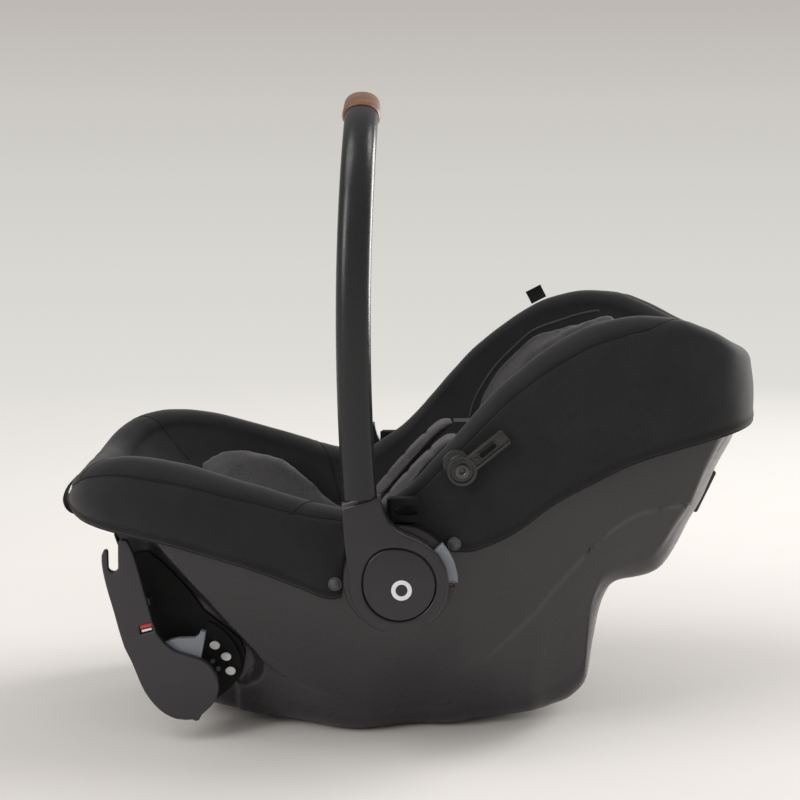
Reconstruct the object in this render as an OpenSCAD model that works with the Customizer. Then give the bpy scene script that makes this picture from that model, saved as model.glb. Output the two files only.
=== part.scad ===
// Infant car seat: a padded bucket on a rocker shell, with a carry handle that turns on two side hubs.
// +X runs from the feet to the head, +Y across, +Z up. The origin is on the floor, straight below the
// handle's axis, at the middle of the width. All sizes are in millimetres.

/* [Overall] */
// Hub axis to the foot end of the cover
foot_reach = 305; // [250:1:370]
// Hub axis to the head end of the cover
head_reach = 338; // [280:1:410]
// Half the width of the cover at its widest
half_width = 180; // [150:1:220]
// Height of the hub axis above the floor
hub_z = 166; // [138:1:200]

/* [Shell] */
// Wall of the outer shell, the bucket and the plates' webs
shell_wall = 3; // [2:0.5:4]
// Half the width of the rocker's sole
sole_half_w = 118; // [100:1:140]
// Length of the flat part of the rocker's sole
sole_flat = 110; // [90:1:140]
// Thickness of the energy-absorbing foam
foam_t = 8; // [7:0.5:12]

/* [Cover] */
// Thickness of the outer cloth
cloth_t = 3; // [2.5:0.5:5]
// Thickness of the padded lining inside the bucket
lining_t = 5; // [4:0.5:7]
// How much thicker the newborn insert makes the lining
insert_t = 26; // [20:1:32]
/* [Handle] */
// Height of the handle's top above the hub axis
handle_rise = 428; // [356:1:514]
// Width of the handle tube, front to back
tube_w = 30; // [25:1:36]
// Thickness of the handle tube, side to side
tube_t = 23; // [19:1:26]
// Radius of the handle's hub
hub_r = 43; // [36:1:52]
// Radius of the steel pivot pin
pin_r = 8; // [6:0.5:10]
// Thickness of the leather sleeve on the grip
leather_t = 2; // [1.5:0.5:3]

/* [Latch plates] */
// Distance of each plate's outer face from the middle
plate_y = 139; // [132:1:150]
// Thickness of a plate
plate_t = 8; // [6:1:10]
// Radius of the bar that the hook notch takes, with its play
notch_r = 4.5; // [4:0.1:6]

/* [Harness] */
// Width of the webbing
webbing_w = 25; // [20:1:30]
// Thickness of the webbing
webbing_t = 1.6; // [1.2:0.1:2.4]
// Distance between the two shoulder straps, middle to middle
strap_gap = 100; // [90:1:120]

/* [Headrest] */
// Half the outer width of the headrest
headrest_half_w = 118; // [100:1:124]
// Length of the headrest along the back
headrest_len = 196; // [170:1:200]

/* [Hidden] */
$fn = 64;

gap = 0.6;                 // clearance between neighbours that face each other flat
layer_gap = 1.8;           // clearance between the nested layers of the seat
run = 0.05;                // radial clearance of a turning fit
outline_power = 5;         // squareness of the seat's outline from above
wall_power = 5.5;          // steepness of the bucket's side walls

// Depths of the layers at the rim, from the cover's outer face inwards
shell_off = cloth_t + 2 * layer_gap;
bucket_off = shell_off + shell_wall + layer_gap;
foam_off = bucket_off + shell_wall + layer_gap;
lining_off = foam_off + foam_t + layer_gap;
inside_off = lining_off + lining_t;
roll_r = inside_off / 2;   // radius of the padded roll over the rim

// Stack of the hub along Y, from the middle outwards
base_in = half_width + 1;
base_face = base_in + 18;
leg_in = base_face + gap;
leg_out = leg_in + 20.5;
pocket_out = leg_in + 12;
tube_y = (leg_in + leg_out) / 2;
tube_x = -33;              // middle of the leg, in front of the hub axis
collar_z = hub_z + 74;     // where the tube meets the leg
top_z = hub_z + handle_rise;
arch_z = hub_z + 0.34 * handle_rise;

// ---------- curves ----------

// Position along X of a share of the reach: negative shares run to the feet
function reach(f) = f < 0 ? f * foot_reach : f * head_reach;

function secant(k, i) = (k[i + 1][1] - k[i][1]) / (k[i + 1][0] - k[i][0]);

// Slope at knot i, flat where the curve turns back
function slope(k, i) =
    i == 0 ? secant(k, 0) :
    i == len(k) - 1 ? secant(k, i - 1) :
    secant(k, i - 1) * secant(k, i) <= 0 ? 0 :
    2 * secant(k, i - 1) * secant(k, i) / (secant(k, i - 1) + secant(k, i));

// Smooth curve through the knots [position, value], held level past both ends
function curve(k, x) =
    let (n = len(k) - 1, c = min(max(x, k[0][0]), k[n][0]),
         i = min(n - 1, max([for (j = [0 : n]) k[j][0] <= c ? j : 0])),
         h = k[i + 1][0] - k[i][0], t = (c - k[i][0]) / h)
    k[i][1] * (2 * t ^ 3 - 3 * t ^ 2 + 1) + slope(k, i) * h * (t ^ 3 - 2 * t ^ 2 + t)
    + k[i + 1][1] * (3 * t ^ 2 - 2 * t ^ 3) + slope(k, i + 1) * h * (t ^ 3 - t ^ 2);

// Crest of the padded rim: share of the reach, height above the hub axis
rim_knots = [
    [-1, 75], [-0.96, 89], [-0.91, 98], [-0.82, 102.5], [-0.68, 98], [-0.45, 80], [-0.2, 59],
    [-0.1, 55], [-0.03, 66], [0.04, 81], [0.11, 104], [0.22, 144], [0.3, 171], [0.42, 201],
    [0.54, 221], [0.675, 229], [0.76, 227], [0.84, 218], [0.93, 204], [1, 197]
];
function rim_z(x) = hub_z + curve(rim_knots, x < 0 ? x / foot_reach : x / head_reach);

// Middle of the lining's floor and back: share of the reach, height above the hub axis
seat_knots = [
    [-1, 52], [-0.86, 34], [-0.66, -6], [-0.33, -60], [-0.12, -77], [0, -75], [0.08, -58],
    [0.3, 5], [0.59, 88], [0.89, 172], [1, 190]
];
function seat_z(x) = hub_z + curve(seat_knots, x < 0 ? x / foot_reach : x / head_reach);

// Underside of the outer shell: share of the reach, height as a share of the hub's
under_knots = [
    [-0.86, 1.14], [-0.84, 1.03], [-0.82, 0.9], [-0.797, 0.72], [-0.77, 0.57],
    [-0.738, 0.39], [-0.705, 0.255], [-0.672, 0.17], [-0.63, 0.105], [-0.587, 0.07], [-0.43, 0.028],
    [-sole_flat / 2 / foot_reach, 0], [sole_flat / 2 / head_reach, 0],
    [0.29, 0.015], [0.4, 0.045], [0.462, 0.1], [0.49, 0.17], [0.506, 0.24], [0.518, 0.44], [0.533, 0.65],
    [0.545, 0.75], [0.562, 0.825], [0.595, 0.867], [0.65, 0.88], [0.692, 0.915], [0.72, 1.0],
    [0.757, 1.156], [0.787, 1.265], [0.831, 1.475], [0.887, 1.67], [0.925, 1.76], [0.945, 1.9],
    [0.955, 2.02]
];
function under_z(x) = hub_z * curve(under_knots, x < 0 ? x / foot_reach : x / head_reach);

// Lower edge of the cover: share of the reach, height above the hub axis
hem_knots = [
    [-1, 48], [-0.93, 40], [-0.86, 36], [-0.72, 29.5], [-0.57, 17.5], [-0.43, 4.6], [-0.29, -12],
    [-0.2, -22], [-0.165, -20], [-0.14, 42], [-0.03, 50], [0.015, 43], [0.08, 33], [0.145, 21],
    [0.19, 20.5], [0.24, 25], [0.32, 38], [0.42, 63], [0.53, 83], [0.63, 99], [0.74, 110],
    [0.84, 118], [0.92, 124], [1, 130]
];
function hem_z(x) = hub_z + curve(hem_knots, x < 0 ? x / foot_reach : x / head_reach);

// Length of the vector u, v measured on the outline's squarish circle
function super_radius(u, v) =
    pow(pow(abs(u), outline_power) + pow(abs(v), outline_power), 1 / outline_power);

// Point of the seat's outline from above, a share of the way out, at a depth of off inside the cover's face
function outline(a, off, share = 1) =
    let (c = cos(a), s = sin(a), m = 1 / super_radius(c, s),
         rx = (c < 0 ? foot_reach : head_reach) - off, ry = half_width - off)
    share * m * [rx * c, ry * s];

// Half width of the outline at x, at a depth of off
function half_at(x, off) =
    let (r = (x < 0 ? foot_reach : head_reach) - off)
    (half_width - off) * pow(max(0, 1 - pow(min(1, abs(x) / r), outline_power)), 1 / outline_power);

// How far the seat's side leans inwards at a depth d below the rim's crest
side_lean = (half_width - sole_half_w - shell_off) / pow(hub_z + 50 - 25, 2);
function lean(d) = side_lean * pow(max(0, d - 25), 2);
// The lean is stronger round the foot end, where the cover tucks under
function foot_lean(x, d) = lean(d) + 0.004 * pow(max(0, d - 30), 2) * max(0, -x / foot_reach * 4 - 3);

// ---------- solids from grids of points ----------

function mean(ring) = [for (k = [0 : 2]) [for (p = ring) p[k]] * [for (p = ring) 1 / len(ring)]];

// Solid through rings of equal length, in order, closed by a fan at each end
module ring_solid(rings) {
    n = len(rings[0]);
    m = len(rings);
    points = concat([for (r = rings) each r], [mean(rings[0]), mean(rings[m - 1])]);
    sides = [for (i = [0 : m - 2], j = [0 : n - 1]) let (k = (j + 1) % n)
        each [[i * n + j, i * n + k, (i + 1) * n + k], [i * n + j, (i + 1) * n + k, (i + 1) * n + j]]];
    first = [for (j = [0 : n - 1]) [m * n, (j + 1) % n, j]];
    last = [for (j = [0 : n - 1]) [m * n + 1, (m - 1) * n + j, (m - 1) * n + (j + 1) % n]];
    polyhedron(points, concat(sides, first, last), convexity = 8);
}

// Sheet with thickness: two grids of points of equal size, the first on the outer face
module sheet_solid(outer, inner) {
    m = len(outer);
    n = len(outer[0]);
    o = m * n;
    points = concat([for (r = outer) each r], [for (r = inner) each r]);
    faces = concat(
        [for (i = [0 : m - 2], j = [0 : n - 2]) let (a = i * n + j, b = a + n)
            each [[a, a + 1, b + 1], [a, b + 1, b],
                [o + a, o + b + 1, o + a + 1], [o + a, o + b, o + b + 1]]],
        [for (i = [0 : m - 2]) let (a = i * n, b = a + n, c = a + n - 1, d = b + n - 1)
            each [[a, b, o + b], [a, o + b, o + a], [c, o + d, d], [c, o + c, o + d]]],
        [for (j = [0 : n - 2]) let (a = j, b = (m - 1) * n + j)
            each [[a, o + a + 1, a + 1], [a, o + a, o + a + 1],
                [b, b + 1, o + b + 1], [b, o + b + 1, o + b]]]);
    polyhedron(points, faces, convexity = 8);
}

// Mirrors a left-hand piece to the right-hand side
module other_side() {
    mirror([0, 1, 0]) children();
}

// Piece and its mirror image in one node
module both_sides() {
    children();
    other_side() children();
}

// Turns a flat outline in X and Z into a plate from y0 to y1
module side_plate(y0, y1) {
    translate([0, y1, 0]) rotate([90, 0, 0]) linear_extrude(y1 - y0) children();
}

// Round bar along Y
module cross_bar(r, y0, y1, x = 0, z = 0) {
    translate([x, y1, z]) rotate([90, 0, 0]) cylinder(r = r, h = y1 - y0);
}

// ---------- shell, bucket and foam ----------

seat_turns = 68;           // points around the bucket
bowl_shares = [0.06, 0.14, 0.23, 0.34, 0.48, 0.63, 0.77, 0.87, 0.94, 0.98, 1];

// Height of the bucket-shaped face at a depth of off, over the point p that is a share f of the way out
function bowl_z(p, f, off) =
    let (low = seat_z(p[0]) - (inside_off - off), r = p[0] < 0 ? foot_reach : head_reach)
    low + (rim_z(p[0] / f * r / (r - off)) - roll_r - low) * pow(f, wall_power);

// Height of the lining over the middle of the width
function mid_z(x) = bowl_z([x, 0], share_at(x, 0, inside_off), inside_off);

// Rings of that face, from the middle out
function bowl(off) = [for (f = bowl_shares) [for (j = [0 : seat_turns - 1])
    let (p = outline(360 * j / seat_turns, off, f)) [p[0], p[1], bowl_z(p, f, off)]]];

// Share of the way out at the point x, y
function share_at(x, y, off) =
    let (rx = (x < 0 ? foot_reach : head_reach) - off, ry = half_width - off)
    min(1, max(0.01, super_radius(x / rx, y / ry)));

function reversed(list) = [for (i = [len(list) - 1 : -1 : 0]) list[i]];

module bowl_layer(off_out, off_in) {
    ring_solid(concat(bowl(off_in), reversed(bowl(off_out))));
}

shell_drop = 22;           // the shell's top edge, below the rim's crest
shell_stations = [for (i = [0 : len(under_knots) - 2]) each
    under_knots[i + 1][0] - under_knots[i][0] > 0.06
        ? [under_knots[i][0], (under_knots[i][0] + under_knots[i + 1][0]) / 2]
        : [under_knots[i][0]]];
shell_xs = [for (f = concat(shell_stations, [under_knots[len(under_knots) - 1][0]])) reach(f)];

// Outward normal of the shell's underside in X and Z
function under_normal(x) =
    let (s = (under_z(x + 0.5) - under_z(x - 0.5)), l = sqrt(1 + s * s)) [s / l, -1 / l];

// The back of the shell is rounder than a plain sweep: how far its middle stands out, by share of the reach
bulge_knots = [[0.44, 0], [0.5, 20], [0.53, 24], [0.57, 34], [0.86, 37], [0.925, 20], [0.955, 9]];
function bulge(x, y) = x < 0 ? 0 : curve(bulge_knots, x / head_reach) * (1 - pow(min(1, abs(y) / 130), 2));

// One side of the shell's section at x and a depth of t inside its face, from its top edge to the middle
function shell_section(x, t) =
    let (top = rim_z(x) - shell_drop, low = under_z(x), r = min(24, (top - low) / 3), n = under_normal(x))
    concat(
        [for (k = [0 : 5])
            let (z = top - (top - low - r) * k / 5, off = shell_off + foot_lean(x, rim_z(x) - z))
            [x - n[0] * t * pow(k / 5, 3), max(12, half_at(x, off)) - t, z]],
        [for (k = [1 : 4]) let (a = k * 22.5, rr = r - t,
                y = max(12, half_at(x, shell_off + foot_lean(x, rim_z(x) - low - r))))
            [x - n[0] * t, max(6, y - r + rr * cos(a)), low + r - (rr + t * (1 + n[1])) * sin(a)]],
        [[x - n[0] * t, 0, low - n[1] * t]]);

function whole_section(x, t) =
    let (half = shell_section(x, t), n = len(half), all = concat(half, [for (i = [n - 2 : -1 : 0])
        [half[i][0], -half[i][1], half[i][2]]]))
    [for (p = all) [p[0] + bulge(x, p[1]), p[1], p[2]]];

// Opening in the shell's side behind each latch plate, as seen from the side
window = [
    [-66, 140], [-40, 124], [-7, 101], [17, 80], [38, 61], [59, 36], [75, 16], [67, 3], [45, -7],
    [20, -10], [-20, 0], [-46, 52], [-66, 90]
];
// Its part inside the shell
module recess_outline() {
    intersection() {
        polygon(window);
        translate([-latch_x, -latch_z]) polygon(concat(
            [for (x = shell_xs) if (x < 0) [x, under_z(x)]], [[0, 2 * hub_z], [shell_xs[0], 2 * hub_z]]));
    }
}
recess_y = plate_y - plate_t - 24;  // floor of the recess behind the plate

module outer_shell() {
    color("#3a3a3d") difference() {
        union() {
            difference() {
                sheet_solid(
                    [for (x = shell_xs) whole_section(x, 0)],
                    [for (x = shell_xs) whole_section(x, shell_wall)]);
                both_sides() at_latch() side_plate(recess_y, half_width) polygon(window);
            }
            both_sides() at_latch() side_plate(recess_y - shell_wall, recess_y) recess_outline();
        }
        both_sides() cross_bar(neck_r + gap, neck_in - 8, half_width + 5, 0, hub_z);
        both_sides() at_latch() {
            cross_bar(shaft_r + 1, recess_y - 9, half_width);
            for (p = stud_spots) cross_bar(tube_r + 1, recess_y - 9, half_width, p[0], p[1]);
        }
        release_place() translate([-23, -56, -14]) cube([46, 112, 30]);
        for (p = post_places) translate([p[0], p[1], -1]) cylinder(r = post_r - 1.5, h = shell_wall + 3);
    }
}

module seat_bucket() {
    color("#2e2e30") bowl_layer(bucket_off, bucket_off + shell_wall);
}

foam_clear = 0.4;          // the foam stands this much further off both its neighbours

module foam_liner() {
    color("#e8e8e4") bowl_layer(foam_off + foam_clear, foam_off + foam_t - foam_clear);
}

// Posts that stand on the shell's sole and carry the bucket, each with a screw from below
post_places = [for (x = [-44, 4], y = [-70, 70]) [x, y]];
post_r = 7;
post_top = min([for (x = [-56 : 4 : 16]) seat_z(x)]) - (inside_off - bucket_off) - gap;

module seat_posts() {
    color("#3a3a3d") for (p = post_places) translate([p[0], p[1], shell_wall + gap]) difference() {
        cylinder(r = post_r, h = post_top - shell_wall - gap);
        translate([0, 0, -1]) cylinder(r = 2.2 + run, h = 34);
    }
}

module post_screws() {
    color("#9a9a9d") for (p = post_places) translate([p[0], p[1], 0]) {
        translate([0, 0, 1]) cylinder(r = 4.4, h = shell_wall + gap - 1);
        translate([0, 0, shell_wall + gap]) cylinder(r = 2.2, h = 30);
    }
}

// ---------- cover and insert ----------

roll_steps = 6;            // points over the rim's roll

// The cover's face at an angle a, from the inner edge of the roll over the top and down to the hem
function apron(a, thick) =
    let (q = outline(a, 0), crest = rim_z(q[0]), hem = min(crest - roll_r - 12, hem_z(q[0])),
         r = roll_r - thick)
    concat(
        [for (k = [1 : roll_steps]) let (b = 180 * k / roll_steps, p = outline(a, roll_r + r * cos(b)))
            [p[0], p[1], crest - roll_r + r * sin(b)]],
        [for (k = [1 : 4]) let (z = crest - roll_r + (hem - crest + roll_r) * k / 4,
                p = outline(a, thick + foot_lean(q[0], crest - z)))
            [p[0], p[1], z]]);

// Rings of the cover's face: thick is 0 on the outside and cloth_t on the inside
function cover_face(off, thick) =
    let (columns = [for (j = [0 : seat_turns - 1]) apron(360 * j / seat_turns, thick)])
    concat(bowl(off), [for (k = [0 : len(columns[0]) - 1]) [for (c = columns) c[k]]]);

module seat_cover() {
    color("#222224")
        ring_solid(concat(cover_face(inside_off, 0), reversed(cover_face(lining_off, cloth_t))));
}

// Top edge of the insert's sides: share of the reach, share of the wall's height
insert_edge = [
    [-0.66, 0.45], [-0.58, 0.7], [-0.49, 0.8], [-0.39, 0.84], [-0.3, 0.76], [-0.2, 0.6], [-0.06, 0.5],
    [0.06, 0.5], [0.18, 0.5], [0.28, 0.36]
];
insert_from = reach(-0.66);
insert_to = reach(0.28);
insert_steps = 18;
insert_gap = 2.4;          // the insert lies this far above the lining

// Section of the insert at x, lift above the lining
function insert_section(x, lift) =
    let (e = pow(curve(insert_edge, x / (x < 0 ? foot_reach : head_reach)), 1 / wall_power),
         off = inside_off + lift, w = half_at(x, off) * e)
    [for (j = [-9 : 9]) let (y = w * sin(10 * j)) [x, y, bowl_z([x, y], share_at(x, y, off), off)]];

module insert_body() {
    xs = [for (i = [0 : insert_steps]) insert_from + (insert_to - insert_from) * i / insert_steps];
    sheet_solid(
        [for (i = [0 : insert_steps]) let (end = abs(2 * i / insert_steps - 1))
            insert_section(xs[i], insert_t * (1 - 0.65 * pow(end, 4)))],
        [for (x = xs) insert_section(x, insert_gap)]);
}

module body_insert() {
    color("#6a686b") insert_body();
}

// ---------- latch at the foot end ----------

// The latch group is drawn about the pawls' axis, with X and Z measured from it
latch_x = 107.5 - foot_reach;
latch_z = 0.34 * hub_z;
module at_latch() {
    translate([latch_x, 0, latch_z]) children();
}

shaft_r = 4;               // cross shaft that both pawls turn on
bulb_r = 33;               // round lower end of a plate
notch = [-61.5, 108];      // middle of the hook notch
tube_r = 5.5;              // cross tubes between the plates
stud_r = 2.5;
stud_spots = [[-36, 70], [8, -18]];

module plate_outline() {
    difference() {
        union() {
            circle(bulb_r);
            translate([5.5, -26.5]) circle(13);
            polygon([
                [-71.5, 120.5], [-66.5, 124.5], [-56.5, 124.5], [-54.5, 131.5], [-48.5, 129.5],
                [-42.5, 115.5], [-36.5, 89.5], [-27.5, 56.5], [-18.5, 41.5], [0, 33], [-10, -31.5],
                [-31.5, -8], [-47.5, 43.5], [-59.5, 83.5], [-67.5, 99.5], [-71.5, 111.5]
            ]);
        }
        translate(notch) circle(notch_r);
        translate([notch[0] - notch_r, notch[1]]) square([2 * notch_r, 40]);
        circle(shaft_r + run);
    }
}

indicator_spot = [-32, 48.5];
indicator_tilt = 14;

module front_plate() {
    color("#38383b") at_latch() difference() {
        side_plate(plate_y - plate_t, plate_y) plate_outline();
        for (p = stud_spots) cross_bar(stud_r + run, plate_y - plate_t - 1, plate_y - 3, p[0], p[1]);
        side_plate(plate_y - 1.2, plate_y + 1)
            translate(indicator_spot) rotate(indicator_tilt) square([11, 8], center = true);
    }
}

module front_plate_left() { front_plate(); }
module front_plate_right() { other_side() front_plate(); }

tube_end = recess_y + 14;

module cross_tubes() {
    color("#8d8d90") at_latch() for (p = stud_spots) difference() {
        cross_bar(tube_r, -tube_end, tube_end, p[0], p[1]);
        cross_bar(stud_r + run, tube_end - 12, tube_end + 1, p[0], p[1]);
        cross_bar(stud_r + run, -tube_end - 1, 12 - tube_end, p[0], p[1]);
    }
}

module plate_studs() {
    color("#a8a8ab") both_sides() at_latch() for (p = stud_spots)
        cross_bar(stud_r, tube_end - 11, plate_y - 3.2, p[0], p[1]);
}

module lock_indicators() {
    color("#d8362f") both_sides() at_latch() side_plate(plate_y - 1, plate_y - 0.2)
        translate(indicator_spot) rotate(indicator_tilt) square([9, 5], center = true);
}

// Ring on the recess floor, with marks that show how far the pawl has turned
ring_mid = 46.5;
ring_half = 7;
mark_angles = [12, 33, 53];

module index_rings() {
    color("#1c1c1e") both_sides() at_latch() side_plate(recess_y + 0.3, recess_y + 2.3) intersection() {
        difference() {
            circle(ring_mid + ring_half);
            circle(ring_mid - ring_half);
        }
        polygon([[0, 0], [70, 4], [60, 50], [30, 70]]);
    }
}

module index_dots() {
    color("#e6e6e8") both_sides() at_latch() for (a = mark_angles)
        cross_bar(4, recess_y + 2.6, recess_y + 5, ring_mid * cos(a), ring_mid * sin(a));
}

// Grey pawl behind the plate, fixed to the cross shaft
module latch_pawl() {
    color("#8b9096") at_latch() difference() {
        side_plate(plate_y - plate_t - 9, plate_y - plate_t - 0.6) {
            circle(13);
            polygon([
                [-17, 35.5], [-6, 40], [10.5, 40], [18.5, 52.5], [21.5, 50.5], [14, 18], [10, 0], [-9, 5]
            ]);
        }
        cross_bar(shaft_r + run, plate_y - 40, plate_y);
    }
}

module latch_pawl_left() { latch_pawl(); }
module latch_pawl_right() { other_side() latch_pawl(); }

module pawl_shaft() {
    color("#a8a8ab") at_latch() {
        cross_bar(shaft_r, 2 - plate_y, plate_y - 2);
        side_plate(-4, 4) polygon([[-3, 0], [3, 0], [3, 22], [-3, 22]]);
    }
}

// Return springs on the shaft, drawn as sleeves
module pawl_springs() {
    color("#b9b9bc") both_sides() at_latch() difference() {
        cross_bar(8, 60, 78);
        cross_bar(shaft_r + 1, 59, 79);
    }
}

// ---------- release at the back of the shell ----------

release_x = 0.893 * head_reach;
release_z = 1.29 * hub_z;
release_tilt = 115;
module release_place() {
    translate([release_x, 0, release_z]) rotate([0, release_tilt, 0]) children();
}

// In the release's own directions X runs down the back of the shell and -Z points out of it
module release_bezel() {
    color("#2a2a2c") release_place() difference() {
        translate([-22.4, -55.4, -12]) cube([44.8, 110.8, 12]);
        translate([-18, -51, -13]) cube([36, 102, 14]);
    }
}

lever_pin_x = -15;
lever_pin_z = -7;

module release_lever() {
    color("#8b9096") release_place() difference() {
        translate([-16.8, -50.4, -10]) cube([34, 100.8, 6]);
        cross_bar(2 + run, -52, 52, lever_pin_x, lever_pin_z);
    }
}

module release_pin() {
    color("#a8a8ab") release_place() cross_bar(2, -50.8, 50.8, lever_pin_x, lever_pin_z);
}

// Sheath of the cable from the lever to the pawls, which runs under the bucket beside the middle
cable_t = 6;
cable_route = [
    [0.8 * head_reach, 1.2 * hub_z], [0.6 * head_reach, 1.02 * hub_z], [0.42 * head_reach, 0.4 * hub_z],
    [0.3 * head_reach, 0.14 * hub_z], [-0.3 * foot_reach, 0.12 * hub_z], [-0.55 * foot_reach, 0.4 * hub_z]
];

module release_cable() {
    color("#17171a") ribbon(cable_route, 8, cable_t, cable_t);
}

// ---------- hubs ----------

boss_r = hub_r + 6;
neck_r = 0.55 * hub_r;
neck_in = half_width - 13;
gear_r = 24;
gear_h = 7;
gear_teeth = 12;

module hub_base() {
    color("#343437") translate([0, 0, hub_z]) difference() {
        union() {
            cross_bar(boss_r, base_in, base_face);
            cross_bar(neck_r, neck_in, base_in);
        }
        cross_bar(pin_r + run, neck_in - 1, base_face + 1);
    }
}

module hub_base_left() { hub_base(); }
module hub_base_right() { other_side() hub_base(); }

// Toothed rings that the handle locks to
module lock_gears() {
    color("#8d8d90") both_sides() translate([0, 0, hub_z]) difference() {
        union() {
            cross_bar(gear_r - 4, base_face + 0.02, base_face + gear_h);
            for (i = [0 : gear_teeth - 1]) rotate([0, 360 * i / gear_teeth, 0])
                translate([0, base_face + 0.02, -2.5]) cube([gear_r, gear_h - 0.02, 5]);
        }
        cross_bar(pin_r + run, base_face - 1, base_face + gear_h + 1);
    }
}

module hub_pins() {
    color("#a8a8ab") both_sides() translate([0, 0, hub_z]) {
        cross_bar(pin_r, neck_in - 1, leg_out - 5);
        cross_bar(pin_r + 3, neck_in - 4, neck_in - 0.05);
    }
}

// The release button is an arc on the hub's head side, between these angles
button_from = 0;
button_to = 42;
button_mid = (button_from + button_to) / 2;
button_in = hub_r - 4;
button_out = hub_r + 8.5;
button_travel = 4;
spring_r = 2.4;

module sector(r, from, to) {
    intersection() {
        circle(r);
        polygon([[0, 0], for (a = [from : (to - from) / 4 : to]) 2 * r * [cos(a), sin(a)]]);
    }
}

module leg_outline() {
    circle(hub_r);
    polygon([
        [-hub_r, 0], [-hub_r - 3, 20], [tube_x - 17.5, 52], [tube_x - 17, 74], [tube_x + 17, 74],
        [tube_x + 19, 58], [-6, 50], [8, hub_r], [hub_r * sin(42), hub_r * cos(42)], [0, 0]
    ]);
}

cap_r = hub_r - 9;

module handle_leg() {
    color("#3a393c") translate([0, 0, hub_z]) difference() {
        side_plate(leg_in, leg_out) leg_outline();
        side_plate(leg_in - 1, pocket_out) difference() {
            sector(hub_r + 20, button_from - 6, button_to + 6);
            circle(button_in - button_travel - 1);
        }
        cross_bar(gear_r + 2, leg_in - 1, base_face + gear_h + 1);
        cross_bar(pin_r + run, leg_in - 1, leg_out - 3.5);
        cross_bar(cap_r + 0.3, leg_out - 3, leg_out + 1);
    }
}

module handle_leg_left() { handle_leg(); }
module handle_leg_right() { other_side() handle_leg(); }

badge_z = -4;
badge_r = 9;

module hub_caps() {
    color("#2b2a2e") both_sides() translate([0, 0, hub_z]) difference() {
        cross_bar(cap_r, leg_out - 2.9, leg_out + 0.8);
        cross_bar(badge_r + 0.2, leg_out - 0.4, leg_out + 1, 0, badge_z);
    }
}

module hub_badges() {
    color("#e4e4e6") both_sides() translate([0, 0, hub_z]) difference() {
        cross_bar(badge_r, leg_out - 0.4, leg_out + 1.1, 0, badge_z);
        cross_bar(badge_r - 4, leg_out - 1, leg_out + 2, 0, badge_z);
    }
}

// Places a child along the button's line of travel, Z outwards from the hub axis
module on_button_line() {
    translate([0, leg_in + 6, hub_z]) rotate([0, 90 - button_mid, 0]) children();
}

module handle_button() {
    color("#8b9096") difference() {
        translate([0, 0, hub_z]) side_plate(leg_in + 1.2, pocket_out - 0.8) difference() {
            sector(button_out, button_from, button_to);
            circle(button_in);
        }
        on_button_line() translate([0, 0, button_in - 4]) cylinder(r = spring_r + 0.4, h = 12.5);
    }
}

module handle_button_left() { handle_button(); }
module handle_button_right() { other_side() handle_button(); }

// Coil springs that push the buttons out, drawn as sleeves
module button_springs() {
    color("#b9b9bc") both_sides() on_button_line() translate([0, 0, button_in - button_travel - 0.6])
        cylinder(r = spring_r, h = 8);
}

// ---------- handle ----------

arch_power = 3.5;          // squareness of the handle's arch
foot_gap = 1.5;            // the tube stands this far above the leg's face

// The legs bow slightly towards the feet half way up
function bow(z) = 30 * pow((z - collar_z) / (top_z - collar_z) - 0.42, 2) - 6;

// Centre line at a turn b of the arch: 0 where the arch leaves the left leg, 180 at the right leg
function arch_point(b) =
    let (e = 2 / arch_power, z = arch_z + (top_z - tube_t / 2 - arch_z) * pow(max(0, sin(b)), e))
    [tube_x + bow(z), tube_y * sign(cos(b)) * pow(abs(cos(b)), e), z];

function leg_point(z, side) = [tube_x + bow(z), side * tube_y, z];

leg_steps = 4;
arch_steps = 36;
leg_foot = collar_z + foot_gap;
function leg_line(i, side) = leg_point(leg_foot + (arch_z - leg_foot) * i / leg_steps, side);
handle_line = concat(
    [for (i = [0 : leg_steps - 1]) leg_line(i, 1)],
    [for (i = [0 : arch_steps]) arch_point(180 * i / arch_steps)],
    [for (i = [leg_steps - 1 : -1 : 0]) leg_line(i, -1)]);

function unit(v) = v / norm(v);

// Oval section of the handle at point i of its line, grown by extra
function handle_ring(i, extra, turns = 16) =
    let (n = len(handle_line) - 1, p = handle_line[i],
         t = unit(handle_line[min(n, i + 1)] - handle_line[max(0, i - 1)]),
         side = unit(cross(t, [1, 0, 0])), across = unit(cross(side, t)))
    [for (j = [0 : turns - 1]) let (a = 360 * j / turns)
        p + across * (tube_w / 2 + extra) * cos(a) + side * (tube_t / 2 + extra) * sin(a)];

module handle_tube() {
    color("#2f2e31") ring_solid(reversed([for (i = [0 : len(handle_line) - 1]) handle_ring(i, 0)]));
}

// Tube wall through rings that close on themselves
module ring_loop(rings) {
    n = len(rings[0]);
    m = len(rings);
    polyhedron([for (r = rings) each r], [for (i = [0 : m - 1], j = [0 : n - 1])
        let (k = (j + 1) % n, a = i * n, b = ((i + 1) % m) * n)
        each [[a + j, a + k, b + k], [a + j, b + k, b + j]]], convexity = 8);
}

grip_reach = 5;            // points of the handle's line that the leather covers, each way from the top

module handle_grip() {
    mid = (len(handle_line) - 1) / 2;
    span = [for (i = [mid - grip_reach : mid + grip_reach]) i];
    color("#7b5238") ring_loop(concat(
        [for (i = span) handle_ring(i, 0.3)],
        [for (i = reversed(span)) handle_ring(i, leather_t + 0.3)]));
}

// ---------- belt guides, studs, canopy mounts and label ----------

guide_from = [-8, 50];
guide_size = [26, 22];

module belt_guide() {
    color("#1d1d1f") translate([0, 0, hub_z]) side_plate(half_width + 2, base_face - 4) difference() {
        translate(guide_from) square(guide_size);
        translate(guide_from + [5, 7]) square([guide_size[0], 8]);
    }
}

module belt_guide_left() { belt_guide(); }
module belt_guide_right() { other_side() belt_guide(); }

stud_places = [[-56, -8], [50, 27.5]];

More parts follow.
